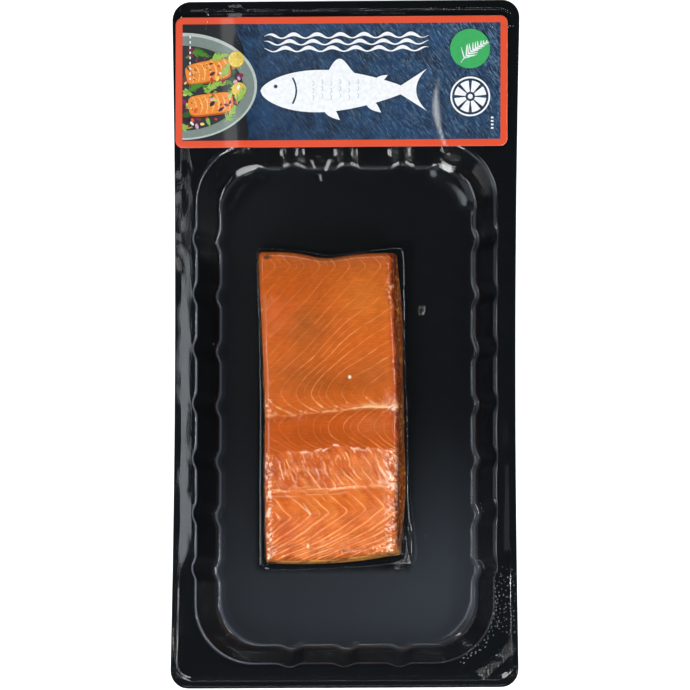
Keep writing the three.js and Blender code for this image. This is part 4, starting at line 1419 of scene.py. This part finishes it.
def coatedPaper():
    # coated label paper, offset printed and varnished: a slate blue ground with paler slanting veins,
    # a red orange border, an even gloss, and a painted highlight along the crease
    look = {
        "deep": "#0f2037",
        "mid": "#1f4267",
        "pale": "#9cc2e2",
        "border": "#e0502f",
        "paper": "#dfe3e6",
        "roughness": 0.3,
        "vein": (3.6, 0.55),  # millimetres along and across a vein
        "slant": -0.95,  # veins run down to the right
    }
    made, tree, out = newMaterial("varnished_label_paper")
    point = addNode(tree, "ShaderNodeTexCoord").outputs["Object"]
    centre = (label["x"] * mm, label["y"] * mm, 0)
    centred = addNode(tree, "ShaderNodeVectorMath", {"operation": "SUBTRACT"}, i0=point, i1=centre)
    xyz = addNode(tree, "ShaderNodeSeparateXYZ", Vector=centred)
    slanted = addNode(
        tree,
        "ShaderNodeMapping",
        {"vector_type": "TEXTURE"},
        Vector=centred,
        Rotation=(0, 0, look["slant"]),
        Scale=(look["vein"][0] * mm, look["vein"][1] * mm, 1),
    )
    slate = addNode(
        tree, "ShaderNodeTexNoise", Vector=slanted, Scale=1.0, Detail=6.0, Roughness=0.75, Distortion=1.2
    )
    cloud = addNode(
        tree, "ShaderNodeTexNoise", Vector=centred, Scale=1 / (7 * mm), Detail=6.0, Roughness=0.62
    )
    broad = addNode(tree, "ShaderNodeMapRange", Value=cloud, From_Min=0.35, From_Max=0.7)
    ground = addNode(
        tree,
        "ShaderNodeMix",
        {"data_type": "RGBA"},
        Factor=broad,
        A=linear(look["deep"]),
        B=linear(look["mid"]),
    )
    # the veins are strongest towards the upper right
    rising = addNode(
        tree, "ShaderNodeMath", {"operation": "MULTIPLY_ADD"}, i0=xyz.outputs[1], i1=7.0, i2=0.5
    )
    clamped = {"operation": "MULTIPLY_ADD", "use_clamp": True}
    veil = addNode(tree, "ShaderNodeMath", clamped, i0=xyz.outputs[0], i1=6.5, i2=rising)
    veins = addNode(tree, "ShaderNodeMapRange", Value=slate, From_Min=0.5, From_Max=0.78)
    veined = addNode(tree, "ShaderNodeMath", {"operation": "MULTIPLY"}, i0=veins, i1=veil)
    ground = addNode(
        tree, "ShaderNodeMix", {"data_type": "RGBA"}, Factor=veined, A=ground, B=linear(look["pale"])
    )
    # the border: outside the inner field
    absX = addNode(tree, "ShaderNodeMath", {"operation": "ABSOLUTE"}, i0=xyz.outputs[0])
    absY = addNode(tree, "ShaderNodeMath", {"operation": "ABSOLUTE"}, i0=xyz.outputs[1])
    fieldX = (label["width"] / 2 - label["border"]) * mm
    fieldY = (label["height"] / 2 - label["border"]) * mm
    outX = addNode(tree, "ShaderNodeMath", {"operation": "GREATER_THAN"}, i0=absX, i1=fieldX)
    outY = addNode(tree, "ShaderNodeMath", {"operation": "GREATER_THAN"}, i0=absY, i1=fieldY)
    onBorder = addNode(tree, "ShaderNodeMath", {"operation": "MAXIMUM"}, i0=outX, i1=outY)
    colour = addNode(
        tree, "ShaderNodeMix", {"data_type": "RGBA"}, Factor=onBorder, A=ground, B=linear(look["border"])
    )
    # a painted highlight along the crease, and white paper on the back and on the edges
    creaseHighlight = addNode(tree, "ShaderNodeAttribute", {"attribute_name": "creaseHighlight"}).outputs["Fac"]
    creaseLightened = addNode(tree, "ShaderNodeMath", {"operation": "MULTIPLY"}, i0=creaseHighlight, i1=0.5)
    colour = addNode(
        tree, "ShaderNodeMix", {"data_type": "RGBA"}, Factor=creaseLightened, A=colour, B=linear(look["paper"])
    )
    normal = addNode(tree, "ShaderNodeNewGeometry").outputs["True Normal"]
    faceUp = addNode(tree, "ShaderNodeSeparateXYZ", Vector=normal)
    isFace = addNode(tree, "ShaderNodeMath", {"operation": "GREATER_THAN"}, i0=faceUp.outputs[2], i1=0.3)
    colour = addNode(
        tree, "ShaderNodeMix", {"data_type": "RGBA"}, Factor=isFace, A=linear(look["paper"]), B=colour
    )
    shader = addNode(
        tree,
        "ShaderNodeBsdfPrincipled",
        Base_Color=colour,
        Roughness=look["roughness"],
        IOR=1.5,
        Coat_Weight=0.5,
        Coat_Roughness=0.08,
    )
    tree.links.new(shader.outputs[0], out.inputs["Surface"])
    return made


# The print on the label: flat shapes just over its face, in the label's own x and y. Each is a grid of
# points, and each lies a step above the one before, so that they cover one another in order

printing = {
    "lift": 0.01,
    "wide": 12,  # a shape wider than this takes the larger step
    "wideStep": 0.02,
    "smallStep": 0.0004,
    "white": "#f4f7fa",
    "green": "#3fae62",
    "ground": "#17191d",
    "plate": "#7c8a84",
    "plateRim": "#b9c4bd",
    "plateDark": "#2a2f33",
    "fish": "#ee8c34",
    "fishLight": "#ffc47c",
    "fishDark": "#b8561a",
    "lemon": "#f3cf3f",
    "lemonPale": "#fbeaa0",
    "leaves": ["#4f8a2c", "#86b44a", "#b8d070", "#2f5a24", "#5c2038", "#7c2c4c", "#33202c"],
    "bits": ["#d9a5c8", "#cf3527", "#f0dc6c", "#8c2a4a", "#eceadc", "#e0562c"],
    "dill": "#9cc458",
    "shadow": "#0d0e10",
    "crumbs": ["#7a3510", "#ffd9a0", "#ffb25c"],
    "blue": "#1d3c60",
    "scales": "#a9bccb",
}


def disc(x, y, radius, inner=0.0, squash=1.0, rows=7, around=48, start=0.0, end=2 * np.pi):
    # rings from inner to radius about a middle, squashed along y
    reach = np.linspace(inner, radius, rows)[:, None]
    turn = np.linspace(start, end, around + 1)[None, :]
    px = x + reach * np.cos(turn)
    py = y + reach * np.sin(turn) * squash
    return np.stack([px, py], axis=-1)[:, ::-1]


def stroke(path, width, across=3):
    # a band along a path of points: at each, half its width to both sides, square to the path
    path = np.asarray(path, float)
    ahead = np.gradient(path, axis=0)
    ahead = ahead / np.linalg.norm(ahead, axis=1, keepdims=True)
    beside = np.stack([-ahead[:, 1], ahead[:, 0]], axis=1) * np.reshape(width, (-1, 1)) / 2
    share = np.linspace(1, -1, across)[:, None, None]
    return (path[None] + beside[None] * share)[:, ::-1]


def placed(x, y, across, along, lean):
    # a flat shape turned by lean and moved to x and y
    px = x + across * np.cos(lean) - along * np.sin(lean)
    py = y + across * np.sin(lean) + along * np.cos(lean)
    return np.stack([px, py], axis=-1)[:, ::-1]


def slab(x, y, length, width, lean, power=5.0):
    # a slice with rounded corners: a superellipse, |x/a|^p + |y/b|^p = 1
    turn = np.linspace(0, 2 * np.pi, 61)[None, :]
    reach = np.linspace(0, 1, 9)[:, None]
    c, s = np.cos(turn), np.sin(turn)
    scale = (np.abs(c) ** power + np.abs(s) ** power) ** (-1 / power)
    return placed(x, y, reach * c * scale * length / 2, reach * s * scale * width / 2, lean)


def sprig(shapes, x, y, length, lean, colour, draw):
    # a dill sprig: a bent stem with thin leaflets in pairs
    t = np.linspace(0, 1, 12)
    bendBy = draw.uniform(-0.4, 0.4)
    ways = lean + bendBy * t
    path = np.stack([x + length * t * np.cos(ways), y + length * t * np.sin(ways)], axis=1)
    shapes.append((stroke(path, 0.35), colour))
    for k in range(2, 12):
        for way in (-1, 1):
            tip = lean + bendBy * t[k] + way * draw.uniform(0.6, 1.0)
            size = length * 0.34 * (1.15 - t[k]) + 0.4
            leaflet = path[k] + np.linspace(0, 1, 4)[:, None] * size * np.array([np.cos(tip), np.sin(tip)])
            shapes.append((stroke(leaflet, 0.42 * np.array([1, 1.2, 0.9, 0.3])), colour))


def lemonWheel(shapes, x, y, radius):
    # a cut lemon: rind, pale ring and wedges
    shapes.append((disc(x, y, radius), printing["lemon"]))
    shapes.append((disc(x, y, radius * 0.88), printing["lemonPale"]))
    for k in range(8):
        start = 2 * np.pi * (k + 0.1) / 8
        wedge = disc(
            x, y, radius * 0.8, inner=radius * 0.12, rows=4, around=8, start=start, end=start + 0.62
        )
        shapes.append((wedge, printing["lemon"]))


def leaf(x, y, length, width, lean):
    # a pointed leaf: a sine arch to both sides of a straight rib
    t = np.linspace(0, 1, 9)[None, :]
    s = np.linspace(1, -1, 5)[:, None]
    return placed(x, y, t * length + 0 * s, s * width / 2 * np.sin(np.pi * t**0.8), lean)


def platePicture(shapes):
    # a serving picture at the left: a half plate on a dark ground, with two slices side by side, lemon,
    # leaves and herbs
    draw = np.random.default_rng(11)
    field = -label["width"] / 2 + label["border"]
    low, high = -label["height"] / 2 + label["border"], label["height"] / 2 - label["border"]
    half = {"start": -np.pi / 2, "end": np.pi / 2}
    t = np.linspace(0, 1, 40)
    edge = 25 + 2.2 * np.sin(5 * t) + 1.2 * np.sin(17 * t + 1)
    share = np.linspace(0, 1, 12)[:, None]
    ground = np.stack([field + share * edge[None, :], low + (high - low) * t[None, :] + 0 * share], axis=-1)
    shapes.append((ground, printing["ground"]))
    shapes.append((disc(field, -1.5, 30.0, rows=14, around=70, squash=0.72, **half), printing["plateRim"]))
    shapes.append((disc(field, -1.8, 29.0, rows=14, around=70, squash=0.71, **half), printing["plate"]))
    shapes.append((disc(field, -2.2, 24.5, rows=14, around=70, squash=0.7, **half), printing["plateDark"]))

    def onPlate():
        # a random place on the plate, within a half ellipse
        px = field + 0.8 + 23 * draw.uniform(0, 1) ** 0.8
        reach = 16.5 * np.sqrt(np.clip(1 - ((px - field) / 25) ** 2, 0.05, 1))
        return px, -2.2 + draw.uniform(-1, 1) * reach

    def scatterLeaves(count, small, large):
        # leaves of random size, lean and colour
        for _ in range(count):
            px, py = onPlate()
            size = draw.uniform(small, large)
            wide, lean = size * draw.uniform(0.3, 0.55), draw.uniform(-1.3, 1.3)
            shape = leaf(max(px - size, field), py, size, wide, lean)
            shapes.append((shape, printing["leaves"][draw.integers(len(printing["leaves"]))]))

    def scatterBits(count):
        # cut vegetables: small rounded slabs of random size, lean and colour
        for _ in range(count):
            px, py = onPlate()
            size = draw.uniform(0.35, 1.1)
            wide, lean = size * draw.uniform(0.9, 1.6), draw.uniform(0, 3)
            shape = slab(max(px, field + size), py, 2 * size, wide, lean, 3.0)
            shapes.append((shape, printing["bits"][draw.integers(len(printing["bits"]))]))

    scatterLeaves(70, 2.5, 5.5)
    scatterBits(40)
    for x, y, lean in ((field + 10.2, 4.6, 0.2), (field + 11.4, -8.6, 0.12)):
        shapes.append((slab(x + 0.5, y - 0.7, 18.4, 9.0, lean), printing["shadow"]))
        shapes.append((slab(x + 0.2, y - 0.4, 18.2, 8.8, lean), printing["fishDark"]))
        shapes.append((slab(x, y, 17.8, 8.2, lean), printing["fish"]))
        for k in range(7):
            shift = -7.0 + 2.3 * k
            s = np.linspace(-1, 1, 9)
            across = np.stack([shift + 1.2 * (1 - s * s), 3.6 * s], axis=1)
            turned = across @ np.array([[np.cos(lean), np.sin(lean)], [-np.sin(lean), np.cos(lean)]])
            shapes.append((stroke(turned + [x, y], 0.5 * (1.1 - s * s * 0.8)), printing["fishLight"]))
        for _ in range(46):
            px, py = x + draw.uniform(-8, 8), y + draw.uniform(-3.5, 3.5)
            tone = printing["crumbs"][draw.integers(3)]
            shapes.append((disc(px, py, draw.uniform(0.12, 0.34), rows=2, around=8), tone))
    lemonWheel(shapes, field + 21.6, 9.2, 3.2)
    lemonWheel(shapes, field + 22.8, -3.0, 2.9)
    scatterLeaves(14, 2.0, 3.6)
    scatterBits(16)
    herbs = [(9, -2.5, 0.3), (16, 2, 1.1), (3, 12, 0.1), (17, -16, 0.8), (22, -9, 1.3)]
    herbs += [(2, -4, 0.7), (11, 9, 0.4)]
    for x, y, lean in herbs:
        tone = printing["dill"] if x > 8 else printing["leaves"][0]
        sprig(shapes, field + x, y, draw.uniform(5.5, 7.5), lean, tone, draw)
    # none of it lies on the border
    for shape, _ in shapes:
        shape[..., 0] = np.maximum(shape[..., 0], field)
        shape[..., 1] = np.clip(shape[..., 1], low, high)


def finShape(x, y, points):
    # a fin between two curves: root points first, then points along its free edge
    t = np.linspace(0, 1, 24)
    edges = []
    for curve in points:
        curve = np.array(curve, float)
        at = np.linspace(0, 1, len(curve))
        # the polynomial that goes through all of the points
        fits = [np.polyfit(at, curve[:, k], len(curve) - 1) for k in (0, 1)]
        edges.append(np.stack([np.polyval(fit, t) for fit in fits], axis=1))
    share = np.linspace(0, 1, 5)[:, None, None]
    return edges[0][None] * (1 - share) + edges[1][None] * share + [x, y]


def wholeFish(shapes, x, y, length, height):
    # a plain white fish: back and belly are arches drawn in at the tail, with a forked tail, fins and
    # a gill line
    t = np.linspace(0, 1, 80)
    back = np.sin(np.pi * t**0.8) ** 0.75 * (1 - 0.12 * t)
    belly = np.sin(np.pi * t**0.72) ** 0.8
    tail = 0.11 * smooth((t - 0.55) / 0.4)
    px = x + length * (t - 0.5) * 0.88 - length * 0.06
    top = y + height / 2 * np.maximum(back, tail)
    low = y - height / 2 * np.maximum(belly, tail)
    share = np.linspace(0, 1, 13)[:, None]
    body = np.stack([px + 0 * share, top * (1 - share) + low * share], axis=-1)
    # root and free edge of each fin, from the fish's middle
    fins = [
        ([(-7, 7.2), (-1, 7.4), (5, 6.4)], [(-7, 7.2), (-2.2, 12.8), (1.4, 9.8), (5, 6.4)]),
        ([(21, 0.9), (21.6, 0), (21, -0.9)], [(33, 8.6), (28.6, 0), (33, -8.6)]),
    ]
    for root, free in fins:
        shapes.append((finShape(x, y, (root, free)), printing["white"]))
    # leaf shaped fins: place from the fish's middle, length, width and lean
    leaves = ((-9, -5.5, 9.5, 3.8, -0.75), (8, -3.6, 8.5, 3.4, -0.7), (11.5, 3.0, 6.5, 2.4, 0.5))
    for dx, dy, size, wide, lean in leaves:
        shapes.append((leaf(x + dx, y + dy, size, wide, lean), printing["white"]))
    shapes.append((body[:, ::-1], printing["white"]))
    gill = np.linspace(-1, 1, 12)
    line = np.stack([x - length * 0.31 + 1.5 * (1 - gill**2), y + height * 0.3 * gill], axis=1)
    shapes.append((stroke(line, 0.7), printing["blue"]))
    shapes.append((disc(x - length * 0.41, y + height * 0.1, 0.75, rows=3, around=18), printing["blue"]))
    # a few scales behind the gill, as short arcs
    for k in range(18):
        cx, cy = x - length * 0.2 + 3.6 * (k // 3), y + 2.9 * (k % 3 - 1) + 0.7 * (k // 3 % 2)
        turn = np.linspace(-1.1, 1.1, 9)
        arc = np.stack([cx + 1.1 * np.cos(turn), cy + 1.1 * np.sin(turn)], axis=1)
        shapes.append((stroke(arc, 0.22), printing["scales"]))


def waveLines(shapes, left, right, y, rows):
    # rows of waves, thick on their crests
    x = np.linspace(left, right, 150)
    for k in range(rows):
        swing = np.sin((x - left) / (right - left) * 2 * np.pi * 7 + k * 1.1)
        path = np.stack([x, y - 2.7 * k + 0.8 * swing], axis=1)
        ends = smooth((x - left) / 5) * smooth((right - x) / 5)
        shapes.append((stroke(path, 0.15 + (0.85 + 0.5 * swing) * ends), printing["white"]))


def shoelace(grid):
    # twice the signed area of all cells of the grid together, going round as gridFaces does
    a, b = grid[:-1, :-1], grid[:-1, 1:]
    c, d = grid[1:, 1:], grid[1:, :-1]
    cross = (c - a)[..., 0] * (d - b)[..., 1] - (c - a)[..., 1] * (d - b)[..., 0]
    return cross.sum()


def makePrint(material):
    # the picture, waves and fish, then a disc with a sprig, a lemon wheel and dotted lines for fine print
    shapes = []
    platePicture(shapes)
    waveLines(shapes, -31, 35, 18.4, 3)
    wholeFish(shapes, 1.5, -3.6, 68, 17.5)
    shapes.append((disc(51.7, 12.9, 8.0, rows=10, around=72), printing["green"]))
    draw = np.random.default_rng(3)
    sprig(shapes, 48.0, 7.2, 13.0, 1.0, printing["white"], draw)
    shapes.append((disc(51.8, -6.4, 8.0, inner=7.3, rows=3, around=72), printing["white"]))
    shapes.append((disc(51.8, -6.4, 1.0, rows=3, around=20), printing["white"]))
    for k in range(8):
        start = 2 * np.pi * (k + 0.13) / 8
        wedge = disc(51.8, -6.4, 6.4, inner=1.9, rows=6, around=12, start=start, end=start + 0.58)
        shapes.append((wedge, printing["white"]))
    for k in range(9):
        dot = [[-60.8, 1 + 2.1 * k], [-60.8, 2.0 + 2.1 * k]]
        shapes.append((stroke(dot, 0.5, 2), printing["white"]))
    for k in range(4):
        dot = [[60.6, -19.5 + 1.4 * k], [60.6, -18.8 + 1.4 * k]]
        shapes.append((stroke(dot, 1.0, 2), printing["white"]))
    grids = []
    over = printing["lift"]
    for grid, _ in shapes:
        # every shape lies a little above the one before, the wide ones more, and none faces down
        grid = grid if shoelace(grid) > 0 else grid[:, ::-1]
        isWide = np.ptp(grid[..., 0]) > printing["wide"]
        over += printing["wideStep"] if isWide else printing["smallStep"]
        grids.append(labelPoint(grid[..., 0], grid[..., 1], over))
    points, faces, counts = joinGrids(grids)
    ink = np.repeat([linear(colour)[:3] for _, colour in shapes], counts, axis=0)
    buildPiece("label_print", points, faces, {"ink": ink}, material, "label", merge=False)


def printedInk():
    # offset ink under the same varnish as the paper: solid colours with a faint mottle
    look = {"mottle": 1.6, "roughness": 0.3}
    made, tree, out = newMaterial("varnished_offset_ink")
    point = addNode(tree, "ShaderNodeTexCoord").outputs["Object"]
    ink = addNode(tree, "ShaderNodeAttribute", {"attribute_name": "ink"}).outputs["Color"]
    mottle = addNode(
        tree, "ShaderNodeTexNoise", Vector=point, Scale=1 / (look["mottle"] * mm), Detail=5.0
    )
    shade = addNode(
        tree, "ShaderNodeMapRange", Value=mottle, From_Min=0.3, From_Max=0.7, To_Min=0.9, To_Max=1.04
    )
    colour = addNode(tree, "ShaderNodeVectorMath", {"operation": "SCALE"}, i0=ink, Scale=shade)
    shader = addNode(
        tree,
        "ShaderNodeBsdfPrincipled",
        Base_Color=colour,
        Roughness=look["roughness"],
        IOR=1.5,
        Coat_Weight=0.5,
        Coat_Roughness=0.08,
    )
    tree.links.new(shader.outputs[0], out.inputs["Surface"])
    return made


# The studio: a white light table, and soft boxes round the pack whose mirror images lie on the film

studio = {
    "floorGlow": 0.75,
    "world": 0.03,
    # place in metres, size across and along, brightness in watts per square metre and steradian, colour
    "boxes": {
        "front_left": ((-0.44, -0.82, 0.66), (0.34, 0.72), 8.4, "#ffffff"),
        "front_right": ((0.42, -0.82, 0.66), (0.34, 0.72), 9.6, "#ffffff"),
        # narrow strips stand in a ring: each draws a thin line along the mouth and foot opposite
        "right_strip": ((0.82, -0.03, 0.59), (0.1, 0.6), 17.0, "#ffffff"),
        "right_front": ((0.7, -0.5, 0.6), (0.06, 0.24), 8.0, "#ffffff"),
        "right_back": ((0.62, 0.52, 0.6), (0.08, 0.36), 12.0, "#ffffff"),
        "back_middle": ((0.05, 0.82, 0.58), (0.7, 0.1), 6.0, "#ffffff"),
        "back_left": ((-0.55, 0.62, 0.6), (0.08, 0.3), 9.0, "#ffffff"),
        "left_front": ((-0.7, -0.5, 0.6), (0.06, 0.24), 5.0, "#ffffff"),
        "left_wall": ((-0.72, 0.0, 0.75), (0.5, 0.7), 0.7, "#e6f2ff"),
        "left_spot": ((-0.9, -0.25, 0.5), (0.1, 0.5), 9.0, "#ffffff"),
        # overhead, for the sheen on the left and right flange, on the label's fold, at the tent's foot
        # and on the front lip
        "over_left": ((-0.36, 0.045, 0.9), (0.22, 0.19), 2.6, "#eef6ff"),
        "over_left_wide": ((-0.37, 0.03, 0.905), (0.28, 0.22), 1.5, "#eef6ff"),
        "over_right": ((0.13, -0.03, 0.96), (0.1, 0.16), 0.5, "#dceaff"),
        "over_fold": ((-0.25, 0.26, 0.94), (0.1, 0.2), 2.4, "#ffffff"),
        "front_line": ((0.0, -0.46, 0.88), (0.5, 0.05), 3.0, "#ffffff"),
        "over_lip": ((-0.08, -0.26, 0.93), (0.3, 0.08), 1.0, "#dceaff"),
    },
}


def makeFloor():
    # a wide flat sheet of opal acrylic under the pack, lit evenly from below as well
    row = np.linspace(-1500, 1500, 5)
    x, y = np.meshgrid(row, row)
    made, tree, out = newMaterial("opal_acrylic_table")
    shader = addNode(
        tree,
        "ShaderNodeBsdfPrincipled",
        Base_Color=(0.92, 0.92, 0.92, 1),
        Roughness=0.9,
        Emission_Color=(1, 1, 1, 1),
        Emission_Strength=studio["floorGlow"],
    )
    tree.links.new(shader.outputs[0], out.inputs["Surface"])
    points = np.stack([x, y, 0 * x], axis=-1)
    floor = buildPiece("studio_floor", points, gridFaces(*x.shape, False), material=made)


def softBox(name, place, size, brightness, colour):
    # a rectangular light that faces the pack and isn't seen itself. Its watts are pi times its area times
    # its brightness
    data = bpy.data.lights.new(name, "AREA")
    data.shape = "RECTANGLE"
    data.size, data.size_y = size
    data.energy = np.pi * size[0] * size[1] * brightness
    data.color = linear(colour)[:3]
    made = bpy.data.objects.new(name, data)
    back = Vector(place) - Vector((0, -0.02, 0.01))
    sideways = Vector((0, 1, 0)).cross(back).normalized()
    # a box well in front or behind keeps two edges level
    if abs(back.y) > abs(back.x) and abs(back.y) > 0.4:
        sideways = Vector((0, 0, 1)).cross(back).normalized()
    back.normalize()
    turned = Matrix((sideways, back.cross(sideways), back)).transposed()
    made.matrix_world = Matrix.Translation(place) @ turned.to_4x4()
    made.visible_camera = False
    bpy.context.scene.collection.objects.link(made)


def makeStudio():
    # the table, the boxes, a faint even surround, and colours shown as they are
    makeFloor()
    for name, (place, size, brightness, colour) in studio["boxes"].items():
        softBox(name, place, size, brightness, colour)
    world = bpy.data.worlds.new("studio")
    bpy.context.scene.world = world
    world.use_nodes = True
    background = world.node_tree.nodes["Background"]
    background.inputs["Color"].default_value = (0.9, 0.95, 1, 1)
    background.inputs["Strength"].default_value = studio["world"]
    bpy.context.scene.view_settings.view_transform = "Standard"


makeCamera()
makeStudio()
print("studio and camera")
makeTray(pressedPlastic())
print("tray")
makeFillet(smokedFlesh())
print("fillet")
wrap = clearFilm()
skinRings = makeFilm(wrap)
makeCreases(skinRings, wrap)
makeBubbles(skinRings, trappedAir(), wrap)
print("film and bubbles")
makeLabel(coatedPaper())
makePrint(printedInk())
print("label")
